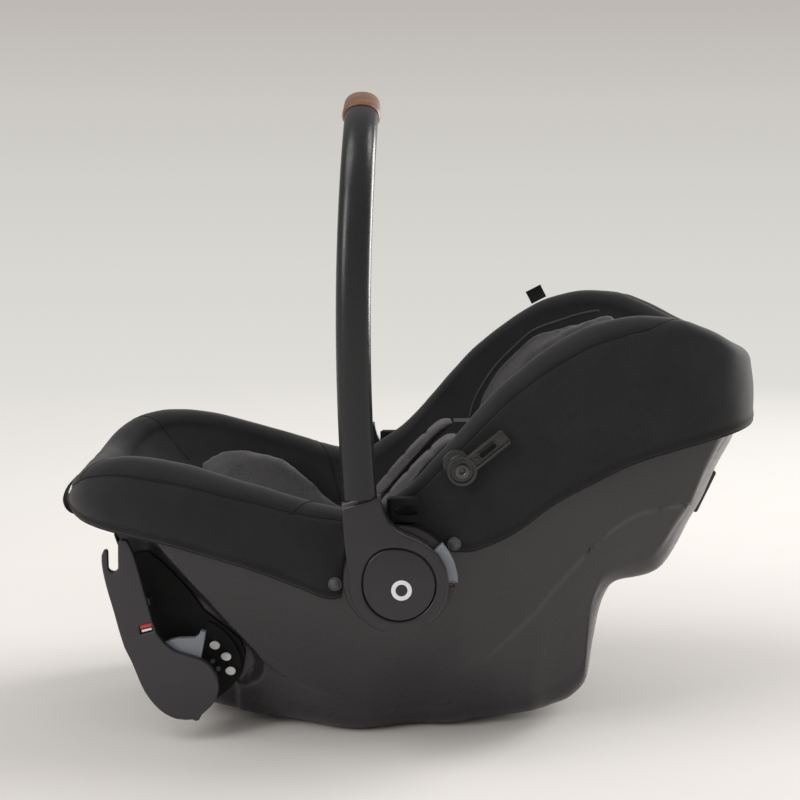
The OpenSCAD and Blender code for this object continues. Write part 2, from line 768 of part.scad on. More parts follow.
module cover_studs() {
    color("#3c3c3f") both_sides() for (p = stud_places)
        let (y = half_at(p[0], lean(rim_z(p[0]) - hub_z - p[1])) + 2)
        cross_bar(5.5, y, y + 3, p[0], hub_z + p[1]);
}

canopy_x = 56;
canopy_z = hub_z + 95;
canopy_r = 14;
canopy_tilt = 39;
canopy_pin_r = 3;
canopy_y = half_width + 1;
canopy_len = 50;

module canopy_mount() {
    color("#242426") translate([canopy_x, 0, canopy_z]) difference() {
        union() {
            cross_bar(canopy_r, canopy_y, canopy_y + 4);
            cross_bar(canopy_pin_r, canopy_y + 3, canopy_y + 12);
            cross_bar(2 * canopy_pin_r, canopy_y + 10.6, canopy_y + 12);
        }
        cross_bar(0.7 * canopy_pin_r, canopy_y + 6, canopy_y + 13);
    }
}

module canopy_mount_left() { canopy_mount(); }
module canopy_mount_right() { other_side() canopy_mount(); }

// Arm that carries the end of a canopy bow, turned up and back along the rim
module canopy_arm() {
    color("#2a2a2c") translate([canopy_x, 0, canopy_z]) difference() {
        side_plate(canopy_y + 4.4, canopy_y + 10.2) rotate(canopy_tilt) difference() {
            union() {
                circle(canopy_r - 0.5);
                translate([0, -7.5]) square([canopy_len, 15]);
            }
            translate([20, -2.2]) square([18, 4.4]);
        }
        cross_bar(canopy_pin_r + run, canopy_y, canopy_y + 12);
    }
}

module canopy_arm_left() { canopy_arm(); }
module canopy_arm_right() { other_side() canopy_arm(); }

label_x = 163;

module label_tab() {
    color("#141415") translate([label_x - 9, half_width - roll_r, rim_z(label_x) - 1]) rotate([0, -atan2(
        rim_z(label_x + 9) - rim_z(label_x - 9), 18), 0]) translate([0, -0.6, 1.6]) cube([18, 1.2, 14]);
}

// ---------- headrest ----------

// The back rises in an almost straight line: s runs up it and n stands off it
back_x = reach(seat_knots[6][0]);
back_top_x = 0.8 * head_reach;
back_angle = atan2(mid_z(back_top_x) - mid_z(back_x), back_top_x - back_x);
function on_back(s, y, n) = [
    back_x + s * cos(back_angle) - n * sin(back_angle), y,
    mid_z(back_x) + s * sin(back_angle) + n * cos(back_angle)
];
module against_back(s, n) {
    translate(on_back(s, 0, n)) rotate([0, -back_angle, 0]) children();
}

rail_n = 4;                // underside of the rail, the plate and the pad above the back's line
plate_n = rail_n + 3.2;
pad_n = plate_n + 3.4;
head_from = 138;           // lower end of the headrest
wing_t = 20;
wing_rise = 32;            // how far the headrest's underside rises to the sides
slot_s = 36;               // harness slots, from the headrest's lower end

// Top edge of the wings: share of the headrest's length, height
wing_knots = [[0, 72], [0.08, 84], [0.2, 94], [0.38, 101], [0.57, 102], [0.77, 89], [0.9, 77], [1, 64]];

function headrest_section(f, out) =
    let (s = head_from + headrest_len * f, h = curve(wing_knots, f),
         w = headrest_half_w - 16 * pow(abs(f - 0.4) / 0.6, 3),
         low = pad_n + (out ? 0 : wing_t), in = out ? 0 : wing_t)
    [for (j = [-8 : 8]) let (k = abs(j) / 8, c = min(1, k / 0.625), u = max(0, (k - 0.625) / 0.375),
            foot = low + wing_rise * (out ? 1 : 0.75) * pow(c, 4))
        on_back(s, sign(j) * ((w - in) * (0.86 * c + 0.14 * sin(90 * u))), foot + (h - foot) * u)];

module headrest_pad() {
    color("#6d6b6e") difference() {
        sheet_solid(
            [for (i = [0 : 14]) headrest_section(i / 14, false)],
            [for (i = [0 : 14]) headrest_section(i / 14, true)]);
        strap_slots();
    }
}

module strap_slots() {
    against_back(head_from + slot_s, 0) for (y = [-strap_gap / 2, strap_gap / 2])
        translate([0, y - webbing_w / 2 - 3, 0]) cube([10, webbing_w + 6, 60]);
}

module headrest_shell() {
    color("#2c2c2e") difference() {
        against_back(head_from + 6, plate_n) translate([0, -66, 0]) cube([headrest_len - 16, 132, 3]);
        strap_slots();
    }
}

module headrest_rail() {
    color("#3a3a3d")
        against_back(head_from - 14, rail_n) translate([0, -9, 0]) cube([headrest_len + 20, 18, 2.6]);
}

// Bar behind the top of the headrest that is squeezed to let it slide
module headrest_lever() {
    color("#8b9096")
        against_back(head_from + headrest_len + 1, pad_n + 6) translate([0, -28, 0]) cube([9, 56, 12]);
}

// ---------- harness ----------

// Ribbon of webbing or padding through points on its middle line in X and Z, centred on y
module ribbon(points, y, w, t) {
    n = len(points);
    function edge(i) =
        let (d = unit(points[min(n - 1, i + 1)] - points[max(0, i - 1)])) [-d[1], d[0]] * t / 2;
    side_plate(y - w / 2, y + w / 2) polygon(concat(
        [for (i = [0 : n - 1]) points[i] + edge(i)],
        [for (i = [n - 1 : -1 : 0]) points[i] - edge(i)]));
}

pad_t = 11;                // shoulder pads
pad_w = 50;

// From the slots in the headrest over to the pads
module shoulder_straps() {
    slot_out = on_back(head_from + slot_s + 5, 0, pad_n + 27);
    slot_in = on_back(head_from + slot_s + 5, 0, pad_n + 8);
    color("#1a1a1b") for (y = [-strap_gap / 2, strap_gap / 2])
        ribbon([[slot_in[0], slot_in[2]], [slot_out[0], slot_out[2]], [118, hub_z + 97], [90, hub_z + 103],
            [63, hub_z + 103.5]], y, webbing_w, webbing_t);
}

module shoulder_pads() {
    color("#5f5d60") for (y = [-strap_gap / 2, strap_gap / 2])
        ribbon([[62, hub_z + 103], [49, hub_z + 98], [30, hub_z + 79], [5, hub_z + 51], [-9, hub_z + 35],
            [-22, hub_z + 23]], y, pad_w, pad_t);
}

// From the pads down to the tongues
module hip_straps() {
    color("#1a1a1b") for (y = [-0.33 * strap_gap, 0.33 * strap_gap])
        ribbon([[-26, hub_z + 19], [-43, hub_z + 20]], y, webbing_w, webbing_t);
}

// From the tongues out and down into the sides of the insert
module lap_straps() {
    color("#1a1a1b") both_sides() hull() {
        translate([-42, 24, hub_z + 10]) cube([webbing_w - 4, 1, webbing_t]);
        translate([-36, 98, hub_z - 14]) cube([webbing_w - 4, 1, webbing_t]);
    }
}

// In the buckle's own directions X runs up to the tongues and Z stands off the child
module buckle_place() {
    translate([-78, 0, hub_z - 1]) rotate([0, -30, 0]) children();
}

module buckle_body() {
    color("#222224") buckle_place() difference() {
        translate([-24, -22, -7]) cube([48, 44, 14]);
        translate([-10, -10.5, 0]) cube([21, 21, 10]);
    }
}

button_press = 3;

module buckle_button() {
    color("#c8332c") buckle_place() translate([-9.4, -9.9, 3.4]) cube([19.8, 19.8, 5]);
}

module buckle_tongues() {
    color("#a8a8ab") both_sides() buckle_place() translate([24.2, 2, -2]) cube([14, 19, 3]);
}

module crotch_strap() {
    color("#1a1a1b")
        ribbon([[-128, hub_z - 19], [-114, hub_z - 17.5], [-100.5, hub_z - 14.5]], 0, webbing_w, webbing_t);
}

module crotch_pad() {
    color("#5f5d60") buckle_place() translate([-24, -25, -15]) cube([40, 50, 7.5]);
}

// ---------- harness adjuster at the foot end ----------

adjust_x = -0.775 * foot_reach;
adjust_lift = 5;

// X runs down the slope of the seat's front
module adjuster_place() {
    translate([adjust_x, 0, mid_z(adjust_x) + adjust_lift])
        rotate([0, atan2(mid_z(adjust_x - 15) - mid_z(adjust_x + 15), 30), 0]) children();
}

module adjuster_body() {
    color("#2a2a2c") adjuster_place() difference() {
        translate([-20, -22, 0]) cube([40, 44, 12]);
        translate([-14, -16, 5]) cube([22, 32, 10]);
        translate([-30, -14, 1.6]) cube([60, 28, 2.4]);
    }
}

module adjuster_button() {
    color("#8b9096") adjuster_place() translate([-13.4, -15.4, 8.6]) cube([20.8, 30.8, 4.4]);
}

// Pull loop of webbing that hangs over the foot end
module adjuster_strap() {
    color("#101011") translate([-foot_reach, 0, hub_z]) ribbon([
        [-3, 74], [-8, 80], [-14, 77], [-20, 68], [-22.2, 58], [-19, 48], [-12, 42], [-4, 41]
    ], 0, webbing_w, webbing_t);
}

outer_shell();
seat_bucket();
foam_liner();
seat_posts();
post_screws();
seat_cover();
body_insert();
front_plate_left();
front_plate_right();
cross_tubes();
plate_studs();
lock_indicators();
index_rings();
index_dots();
latch_pawl_left();
latch_pawl_right();
pawl_shaft();
pawl_springs();
release_bezel();
release_lever();
release_pin();
release_cable();
hub_base_left();
hub_base_right();
lock_gears();
hub_pins();
belt_guide_left();
belt_guide_right();
cover_studs();
label_tab();
handle_tube();
handle_grip();
handle_leg_left();
handle_leg_right();
hub_caps();
hub_badges();
handle_button_left();
handle_button_right();
button_springs();
canopy_mount_left();
canopy_mount_right();
canopy_arm_left();
canopy_arm_right();
headrest_rail();
headrest_shell();
headrest_pad();
headrest_lever();
shoulder_straps();
shoulder_pads();
hip_straps();
lap_straps();
crotch_strap();
crotch_pad();
buckle_body();
buckle_button();
buckle_tongues();
adjuster_body();
adjuster_button();
adjuster_strap();
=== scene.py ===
"""Infant car seat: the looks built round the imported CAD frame, in metres, in the same frame."""
import math

import bmesh
import bpy
import numpy as np
from mathutils import Matrix, Vector, noise


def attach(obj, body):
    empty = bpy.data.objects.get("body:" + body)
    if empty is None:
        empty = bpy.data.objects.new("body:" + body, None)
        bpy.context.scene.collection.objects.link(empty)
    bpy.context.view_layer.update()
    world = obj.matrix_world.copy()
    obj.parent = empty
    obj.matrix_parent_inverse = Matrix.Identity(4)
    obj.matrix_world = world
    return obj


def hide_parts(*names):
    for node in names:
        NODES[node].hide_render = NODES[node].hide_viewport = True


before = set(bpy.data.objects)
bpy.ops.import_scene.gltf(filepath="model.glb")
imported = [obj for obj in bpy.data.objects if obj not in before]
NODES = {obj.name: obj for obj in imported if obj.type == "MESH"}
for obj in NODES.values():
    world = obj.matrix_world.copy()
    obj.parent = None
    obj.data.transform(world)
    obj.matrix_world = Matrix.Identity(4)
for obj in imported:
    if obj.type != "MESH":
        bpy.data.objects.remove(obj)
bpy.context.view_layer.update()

MM = 0.001
SIDES = (("left", 1), ("right", -1))

# ---------- sizes of the CAD part, in millimetres ----------

FOOT, HEAD, HALF_W, HUB_Z = 305.0, 338.0, 180.0, 166.0
SHELL_WALL, SOLE_HALF, CLOTH = 3.0, 118.0, 3.0
SHELL_OFF, INSIDE_OFF, ROLL_R = 6.6, 31.0, 15.5
TUBE_X, TUBE_Y, TUBE_W, TUBE_T = -33.0, 209.85, 30.0, 23.0
COLLAR_Z, TOP_Z, ARCH_Z = 240.0, 594.0, 311.52
HUB_R, LEG_IN, LEG_OUT = 43.0, 199.6, 220.1
LATCH_X, LATCH_Z, PLATE_Y, PLATE_T = -197.5, 56.44, 139.0, 8.0
RECESS_Y = PLATE_Y - PLATE_T - 24

RIM = [(-1, 75), (-.96, 89), (-.91, 98), (-.82, 102.5), (-.68, 98), (-.45, 80), (-.2, 59), (-.1, 55),
       (-.03, 66), (.04, 81), (.11, 104), (.22, 144), (.3, 171), (.42, 201), (.54, 221), (.675, 229),
       (.76, 227), (.84, 218), (.93, 204), (1, 197)]
SEAT = [(-1, 52), (-.86, 34), (-.66, -6), (-.33, -60), (-.12, -77), (0, -75), (.08, -58), (.3, 5),
        (.59, 88), (.89, 172), (1, 190)]
UNDER = [(-.86, 1.14), (-.84, 1.03), (-.82, .9), (-.797, .72), (-.77, .57), (-.738, .39), (-.705, .255),
         (-.672, .17), (-.63, .105), (-.587, .07), (-.43, .028), (-55 / 305, 0), (55 / 338, 0),
         (.29, .015), (.4, .045), (.462, .1), (.49, .17), (.506, .24), (.518, .44), (.533, .65),
         (.545, .75), (.562, .825), (.595, .867), (.65, .88), (.692, .915), (.72, 1), (.757, 1.156),
         (.787, 1.265), (.831, 1.475), (.887, 1.67), (.925, 1.76), (.945, 1.9), (.955, 2.02)]
HEM = [(-1, 48), (-.93, 40), (-.86, 36), (-.72, 29.5), (-.57, 17.5), (-.43, 4.6), (-.29, -12),
       (-.2, -22), (-.165, -20), (-.14, 42), (-.03, 50), (.015, 43), (.08, 33), (.145, 21), (.19, 20.5),
       (.24, 25), (.32, 38), (.42, 63), (.53, 83), (.63, 99), (.74, 110), (.84, 118), (.92, 124), (1, 130)]


def smooth_curve(knots, x):
    """Monotone cubic through the knots, held level past both ends."""
    kx, ky = (np.array(c, float) for c in zip(*knots))
    h = np.diff(kx)
    sec = np.diff(ky) / h
    m = np.empty(len(kx))
    m[0], m[-1] = sec[0], sec[-1]
    turn = sec[:-1] * sec[1:] <= 0
    m[1:-1] = np.where(turn, 0, 2 * sec[:-1] * sec[1:] / np.where(turn, 1, sec[:-1] + sec[1:]))
    c = np.clip(x, kx[0], kx[-1])
    i = np.clip(np.searchsorted(kx, c, "right") - 1, 0, len(h) - 1)
    t = (c - kx[i]) / h[i]
    return (ky[i] * (2 * t**3 - 3 * t**2 + 1) + m[i] * h[i] * (t**3 - 2 * t**2 + t)
            + ky[i + 1] * (3 * t**2 - 2 * t**3) + m[i + 1] * h[i] * (t**3 - t**2))


def share_of_reach(x):
    return np.where(np.asarray(x) < 0, np.asarray(x) / FOOT, np.asarray(x) / HEAD)


def rim_z(x):
    return HUB_Z + smooth_curve(RIM, share_of_reach(x))


def seat_z(x):
    return HUB_Z + smooth_curve(SEAT, share_of_reach(x))


def hem_z(x):
    return HUB_Z + smooth_curve(HEM, share_of_reach(x))


def under_z(x):
    return HUB_Z * smooth_curve(UNDER, share_of_reach(x))


def smoothstep(lo, hi, x):
    t = np.clip((np.asarray(x, float) - lo) / (hi - lo), 0, 1)
    return t * t * (3 - 2 * t)


def outline(a, off, share=1.0):
    """Point of the seat's outline from above, at a turn a in degrees and a depth off."""
    c, s = np.cos(np.radians(a)), np.sin(np.radians(a))
    m = (np.abs(c)**5 + np.abs(s)**5) ** -.2
    rx = np.where(c < 0, FOOT, HEAD) - off
    return share * m * rx * c, share * m * (HALF_W - off) * s


def half_at(x, off):
    r = np.where(np.asarray(x) < 0, FOOT, HEAD) - off
    return (HALF_W - off) * np.maximum(0, 1 - np.minimum(1, np.abs(x) / r)**5) ** .2


def share_at(x, y, off):
    rx = np.where(np.asarray(x) < 0, FOOT, HEAD) - off
    return np.clip(((np.abs(x) / rx)**5 + (np.abs(y) / (HALF_W - off))**5) ** .2, .01, 1)


def bowl_z(x, f, off):
    """Height of the bucket-shaped face at a depth off, over a point a share f of the way out."""
    low = seat_z(x) - (INSIDE_OFF - off)
    r = np.where(np.asarray(x) < 0, FOOT, HEAD)
    return low + (rim_z(x / f * r / (r - off)) - ROLL_R - low) * f**5.5


def lining_z(x, y, off=INSIDE_OFF):
    return bowl_z(x, share_at(x, y, off), off)


def tuck(p):
    """Points of the seat, drawn in towards the feet where they are at the top of the head end."""
    p = np.asarray(p, float)
    k = smoothstep(.85, 1, p[..., 0] / HEAD) * smoothstep(110, 200, p[..., 2] - HUB_Z)
    return p - k[..., None] * np.array([6., 0., 2.])


SIDE_LEAN = (HALF_W - SOLE_HALF - SHELL_OFF) / (HUB_Z + 50 - 25) ** 2


def foot_lean(x, d):
    """How far the side has leant inwards at a depth d below the rim's crest."""
    share = 1 - smoothstep(0, .2, x / HEAD) * np.maximum(0, 1 - (HUB_Z + 50) / rim_z(x))
    return (SIDE_LEAN * np.maximum(0, d * share - 25)**2
            + .004 * np.maximum(0, d - 30)**2 * np.maximum(0, -x / FOOT * 4 - 3))


BACK_X = .08 * HEAD
BACK_ANGLE = math.atan2(float(lining_z(.8 * HEAD, 0.)) - float(lining_z(BACK_X, 0.)), .8 * HEAD - BACK_X)
BACK_Z = float(lining_z(BACK_X, 0.))


def on_back(s, y, n):
    """Point s up the seat's back and n off it."""
    c, si = math.cos(BACK_ANGLE), math.sin(BACK_ANGLE)
    return np.array([BACK_X + s * c - n * si, y, BACK_Z + s * si + n * c])


# ---------- meshes ----------

def new_object(name, points, faces, smooth=40):
    """Mesh object from points in millimetres, with edges sharper than smooth degrees kept crisp."""
    me = bpy.data.meshes.new(name)
    me.from_pydata([tuple(p) for p in np.asarray(points, float) * MM], [], faces)
    me.validate()
    ob = bpy.data.objects.new(name, me)
    bpy.context.scene.collection.objects.link(ob)
    shade(ob, smooth)
    return ob


def shade(ob, angle=40):
    ob.data.shade_smooth()
    if angle < 180:
        ob.data.set_sharp_from_angle(angle=math.radians(angle))


def grid_faces(m, n, wrap_m=False, wrap_n=False, flip=False, start=0):
    """Quads of an m by n grid of points."""
    faces = []
    for i in range(m if wrap_m else m - 1):
        for j in range(n if wrap_n else n - 1):
            a, b = i * n + j, i * n + (j + 1) % n
            c, d = ((i + 1) % m) * n + (j + 1) % n, ((i + 1) % m) * n + j
            q = (a, b, c, d) if not flip else (d, c, b, a)
            faces.append(tuple(start + k for k in q))
    return faces


def grid_object(name, grid, wrap_m=False, wrap_n=False, flip=False, smooth=180):
    grid = np.asarray(grid, float)
    m, n = grid.shape[:2]
    return new_object(name, grid.reshape(-1, 3), grid_faces(m, n, wrap_m, wrap_n, flip), smooth)


def apply_modifiers(ob, smooth=None):
    dg = bpy.context.evaluated_depsgraph_get()
    me = bpy.data.meshes.new_from_object(ob.evaluated_get(dg))
    old = ob.data
    ob.modifiers.clear()
    ob.data = me
    bpy.data.meshes.remove(old)
    if smooth is not None:
        shade(ob, smooth)
    return ob


def modifier(ob, kind, **settings):
    mod = ob.modifiers.new(kind.title(), kind)
    for key, value in settings.items():
        setattr(mod, key, value)
    return mod


def merge(ob, distance=.02):
    """Joins points closer than distance and turns the faces outwards."""
    bm = bmesh.new()
    bm.from_mesh(ob.data)
    bmesh.ops.remove_doubles(bm, verts=bm.verts, dist=distance * MM)
    bmesh.ops.dissolve_degenerate(bm, edges=bm.edges, dist=distance * MM * .2)
    bmesh.ops.recalc_face_normals(bm, faces=bm.faces)
    bm.to_mesh(ob.data)
    bm.free()
    return ob


def thicken(ob, t, centre, smooth=50):
    """Sheet turned into a wall t millimetres thick, from its face towards centre."""
    middle = Vector(centre) * MM
    away = sum((f.center - middle).dot(f.normal) * f.area for f in ob.data.polygons)
    if away < 0:
        ob.data.flip_normals()
    modifier(ob, "SOLIDIFY", thickness=t * MM, offset=-1, use_even_offset=False)
    return apply_modifiers(ob, smooth)


def join(name, objects):
    """One object from several, which keep their places."""
    bm = bmesh.new()
    materials = []
    for ob in objects:
        me = ob.data.copy()
        me.transform(ob.matrix_world)
        base = len(materials)
        materials += list(me.materials) or [None]
        n = len(bm.faces)
        bm.from_mesh(me)
        bm.faces.ensure_lookup_table()
        for f in bm.faces[n:]:
            f.material_index += base
        bpy.data.meshes.remove(me)
    me = bpy.data.meshes.new(name)
    bm.to_mesh(me)
    bm.free()
    for m in materials:
        if m is not None:
            me.materials.append(m)
    for ob in objects:
        bpy.data.objects.remove(ob, do_unlink=True)
    out = bpy.data.objects.new(name, me)
    bpy.context.scene.collection.objects.link(out)
    return out


def mirrored(ob, name):
    """Copy of ob on the other side of the middle plane."""
    me = ob.data.copy()
    me.transform(Matrix.Scale(-1, 4, (0, 1, 0)))
    me.flip_normals()
    out = bpy.data.objects.new(name, me)
    bpy.context.scene.collection.objects.link(out)
    return out


def remove_piece(ob):
    bpy.data.objects.remove(ob, do_unlink=True)


def mirrored_piece(ob, name, s):
    """ob under a new name, moved to the other side where s is negative."""
    if s < 0:
        new = mirrored(ob, name)
        remove_piece(ob)
        ob = new
    ob.name = name
    return ob


def section_curve(loops, half, bevel, resolution=3):
    """Mesh object of flat loops in X and Z, with rounded edges, extruded half a thickness each way."""
    cu = bpy.data.curves.new("loops", "CURVE")
    cu.dimensions = "2D"
    cu.fill_mode = "BOTH"
    cu.extrude = max(half - bevel, .01) * MM
    cu.bevel_depth = bevel * MM
    cu.bevel_resolution = resolution
    cu.offset = -bevel * MM
    for loop in loops:
        sp = cu.splines.new("POLY")
        sp.points.add(len(loop) - 1)
        for p, q in zip(sp.points, loop):
            p.co = (q[0] * MM, q[1] * MM, 0, 1)
        sp.use_cyclic_u = True
    ob = bpy.data.objects.new("loops", cu)
    bpy.context.scene.collection.objects.link(ob)
    dg = bpy.context.evaluated_depsgraph_get()
    me = bpy.data.meshes.new_from_object(ob.evaluated_get(dg))
    bpy.data.objects.remove(ob, do_unlink=True)
    bpy.data.curves.remove(cu)
    return me


def plate(name, loops, y0, y1, bevel=.8, at=(0, 0), turn=0.0, smooth=35):
    """Plate from y0 to y1 whose outline, holes included, is loops in X and Z about the point at."""
    me = section_curve(loops, (y1 - y0) / 2, bevel)
    ob = bpy.data.objects.new(name, me)
    bpy.context.scene.collection.objects.link(ob)
    # the loops' plane becomes X and Z
    me.transform(Matrix.Translation((at[0] * MM, (y0 + y1) / 2 * MM, at[1] * MM))
                 @ Matrix.Rotation(-math.radians(turn), 4, "Y") @ Matrix.Rotation(math.radians(90), 4, "X"))
    merge(ob)
    shade(ob, smooth)
    return ob


def circle(r, x=0.0, z=0.0, n=48, start=0.0, end=360.0):
    span = end - start
    full = abs(span) >= 360
    return [(x + r * math.cos(math.radians(start + span * i / (n if full else n - 1))),
             z + r * math.sin(math.radians(start + span * i / (n if full else n - 1)))) for i in range(n)]


def rounded(points, radii, steps=6):
    """Closed outline with its corners rounded: one radius for all or a list."""
    out, n = [], len(points)
    for i, p in enumerate(points):
        r = radii[i] if hasattr(radii, "__len__") else radii
        a, b, c = (np.array(points[k % n], float) for k in (i - 1, i, i + 1))
        u, v = a - b, c - b
        lu, lv = np.linalg.norm(u), np.linalg.norm(v)
        if r <= 0 or lu < 1e-6 or lv < 1e-6:
            out.append(tuple(b))
            continue
        u, v = u / lu, v / lv
        half = math.acos(np.clip(u @ v, -1, 1)) / 2
        cut = min(r / max(math.tan(half), 1e-3), .48 * lu, .48 * lv)
        s, e = b + u * cut, b + v * cut
        for k in range(steps + 1):
            t = k / steps
            out.append(tuple((1 - t)**2 * s + 2 * t * (1 - t) * b + t * t * e))
    return out


def box_outline(w, h, x=0.0, z=0.0):
    return [(x - w / 2, z - h / 2), (x + w / 2, z - h / 2), (x + w / 2, z + h / 2), (x - w / 2, z + h / 2)]


def lathe(name, profile, at, turns=48, smooth=35):
    """Turned piece about the Y direction through at: profile is (radius, y) pairs from end to end."""
    a = np.linspace(0, 2 * math.pi, turns, endpoint=False)
    rings = [[(at[0] + r * math.cos(t), y, at[1] + r * math.sin(t)) for t in a] for r, y in profile]
    ob = grid_object(name, rings, wrap_n=True)
    merge(ob, .005)
    shade(ob, smooth)
    return ob


def bead(name, path, r, turns=8, closed=False, smooth=180):
    """Round bead along a path, closed at its ends by a dome."""
    path = np.asarray(path, float)
    n = len(path)
    if closed:
        t = np.roll(path, -1, 0) - np.roll(path, 1, 0)
    else:
        t = np.gradient(path, axis=0)
    t /= np.linalg.norm(t, axis=1)[:, None]
    up = np.array([0., 0., 1.])
    side = np.cross(t, up)
    bad = np.linalg.norm(side, axis=1) < .05
    side[bad] = np.cross(t[bad], [1., 0, 0])
    side /= np.linalg.norm(side, axis=1)[:, None]
    nor = np.cross(side, t)
    a = np.linspace(0, 2 * math.pi, turns, endpoint=False)
    r = np.broadcast_to(r, n)
    rings = (path[:, None] + r[:, None, None] * (np.cos(a)[None, :, None] * side[:, None]
                                                 + np.sin(a)[None, :, None] * nor[:, None]))
    if closed:
        return grid_object(name, rings, wrap_m=True, wrap_n=True, smooth=smooth)
    caps = [np.repeat((path[0] - t[0] * r[0] * .6)[None], turns, 0), *rings,
            np.repeat((path[-1] + t[-1] * r[-1] * .6)[None], turns, 0)]
    ob = grid_object(name, caps, wrap_n=True, smooth=smooth)
    return merge(ob, .001)


def resample(points, step=None, count=None):
    """Points spaced evenly along a line of points."""
    p = np.asarray(points, float)
    d = np.concatenate([[0], np.cumsum(np.linalg.norm(np.diff(p, axis=0), axis=1))])
    n = count or max(2, int(round(d[-1] / step)) + 1)
    t = np.linspace(0, d[-1], n)
    return np.stack([np.interp(t, d, p[:, k]) for k in range(p.shape[1])], 1)


def spline(points, step):
    """Smooth line through a few points, Catmull-Rom, sampled about every step millimetres."""
    p = np.asarray(points, float)
    p = np.vstack([2 * p[0] - p[1], p, 2 * p[-1] - p[-2]])
    out = []
    for i in range(1, len(p) - 2):
        for t in np.linspace(0, 1, 12, endpoint=False):
            out.append(.5 * ((2 * p[i]) + (p[i + 1] - p[i - 1]) * t
                             + (2 * p[i - 1] - 5 * p[i] + 4 * p[i + 1] - p[i + 2]) * t**2
                             + (3 * p[i] - p[i - 1] - 3 * p[i + 1] + p[i + 2]) * t**3))
    out.append(p[-2])
    return resample(out, step=step)


def hash_noise(points, scale, seed=0.0):
    """Smooth noise at points in millimetres, from about -1 to 1."""
    return np.array([noise.noise(Vector((p[0] / scale + seed, p[1] / scale - seed, p[2] / scale)))
                     for p in np.asarray(points).reshape(-1, 3)]).reshape(np.asarray(points).shape[:-1])


# ---------- materials ----------

class Paint:
    """Node material under construction: add() makes a node, wire() joins sockets."""

    def __init__(self, name, rough, metal=0.0, **sockets):
        self.mat = bpy.data.materials.new(name)
        self.mat.use_nodes = True
        self.tree = self.mat.node_tree
        self.bsdf = self.tree.nodes["Principled BSDF"]
        self.bsdf.inputs["Roughness"].default_value = rough
        self.bsdf.inputs["Metallic"].default_value = metal
        for key, value in sockets.items():
            self.bsdf.inputs[key.replace("_", " ")].default_value = value
        self.where = self.add("ShaderNodeTexCoord").outputs["Object"]
        self.height = None

    def add(self, kind, **settings):
        node = self.tree.nodes.new(kind)
        for key, value in settings.items():
            if key in node.inputs:
                node.inputs[key].default_value = value
            else:
                setattr(node, key, value)
        return node

    def wire(self, a, b):
        self.tree.links.new(a, b)

    def stretch(self, scale, turn=(0, 0, 0)):
        """The object's coordinates in metres, stretched and turned."""
        m = self.add("ShaderNodeMapping")
        m.inputs["Scale"].default_value = scale
        m.inputs["Rotation"].default_value = turn
        self.wire(self.where, m.inputs["Vector"])
        return m.outputs["Vector"]

    def noise(self, scale, detail=2.0, rough=.5, vector=None):
        n = self.add("ShaderNodeTexNoise", Scale=scale, Detail=detail, Roughness=rough)
        self.wire(vector or self.where, n.inputs["Vector"])
        return n.outputs["Fac"]

    def cells(self, scale, feature="F1", vector=None):
        n = self.add("ShaderNodeTexVoronoi", feature=feature, Scale=scale)
        self.wire(vector or self.where, n.inputs["Vector"])
        return n.outputs["Distance"]

    def waves(self, scale, direction="X", distortion=0.0, vector=None):
        n = self.add("ShaderNodeTexWave", bands_direction=direction, Scale=scale, Distortion=distortion)
        self.wire(vector or self.where, n.inputs["Vector"])
        return n.outputs["Fac"]

    def span(self, value, lo, hi, out_lo, out_hi):
        n = self.add("ShaderNodeMapRange")
        for key, v in (("From Min", lo), ("From Max", hi), ("To Min", out_lo), ("To Max", out_hi)):
            n.inputs[key].default_value = v
        self.wire(value, n.inputs["Value"])
        return n.outputs["Result"]

    def ramp(self, value, stops):
        n = self.add("ShaderNodeValToRGB")
        while len(n.color_ramp.elements) < len(stops):
            n.color_ramp.elements.new(.5)
        for e, (at, colour) in zip(n.color_ramp.elements, stops):
            e.position, e.color = at, (*colour, 1)
        self.wire(value, n.inputs["Fac"])
        return n.outputs["Color"]

    def maths(self, operation, a, b):
        n = self.add("ShaderNodeMath", operation=operation)
        for i, v in enumerate((a, b)):
            if isinstance(v, (int, float)):
                n.inputs[i].default_value = v
            else:
                self.wire(v, n.inputs[i])
        return n.outputs["Value"]

    def mix(self, factor, a, b):
        n = self.add("ShaderNodeMix", data_type="RGBA")
        sockets = {s.identifier: s for s in n.inputs}
        for key, v in (("Factor_Float", factor), ("A_Color", a), ("B_Color", b)):
            if isinstance(v, tuple):
                sockets[key].default_value = (*v, 1)
            elif isinstance(v, float):
                sockets[key].default_value = v
            else:
                self.wire(v, sockets[key])
        return next(s for s in n.outputs if s.identifier == "Result_Color")

    def colour(self, socket):
        self.wire(socket, self.bsdf.inputs["Base Color"])
        return self

    def roughness(self, socket):
        self.wire(socket, self.bsdf.inputs["Roughness"])
        return self

    def bump(self, height, strength, depth):
        """Adds a bump of a height socket on top of those already there; depth in millimetres."""
        n = self.add("ShaderNodeBump", Strength=strength, Distance=depth * MM)
        self.wire(height, n.inputs["Height"])
        if self.height is not None:
            self.wire(self.height, n.inputs["Normal"])
        self.height = n.outputs["Normal"]
        self.wire(self.height, self.bsdf.inputs["Normal"])
        return self


def linear(rgb):
    """Linear colour of an sRGB triple from 0 to 255."""
    return tuple((c / 255 / 12.92) if c <= 10 else ((c / 255 + .055) / 1.055) ** 2.4 for c in rgb)


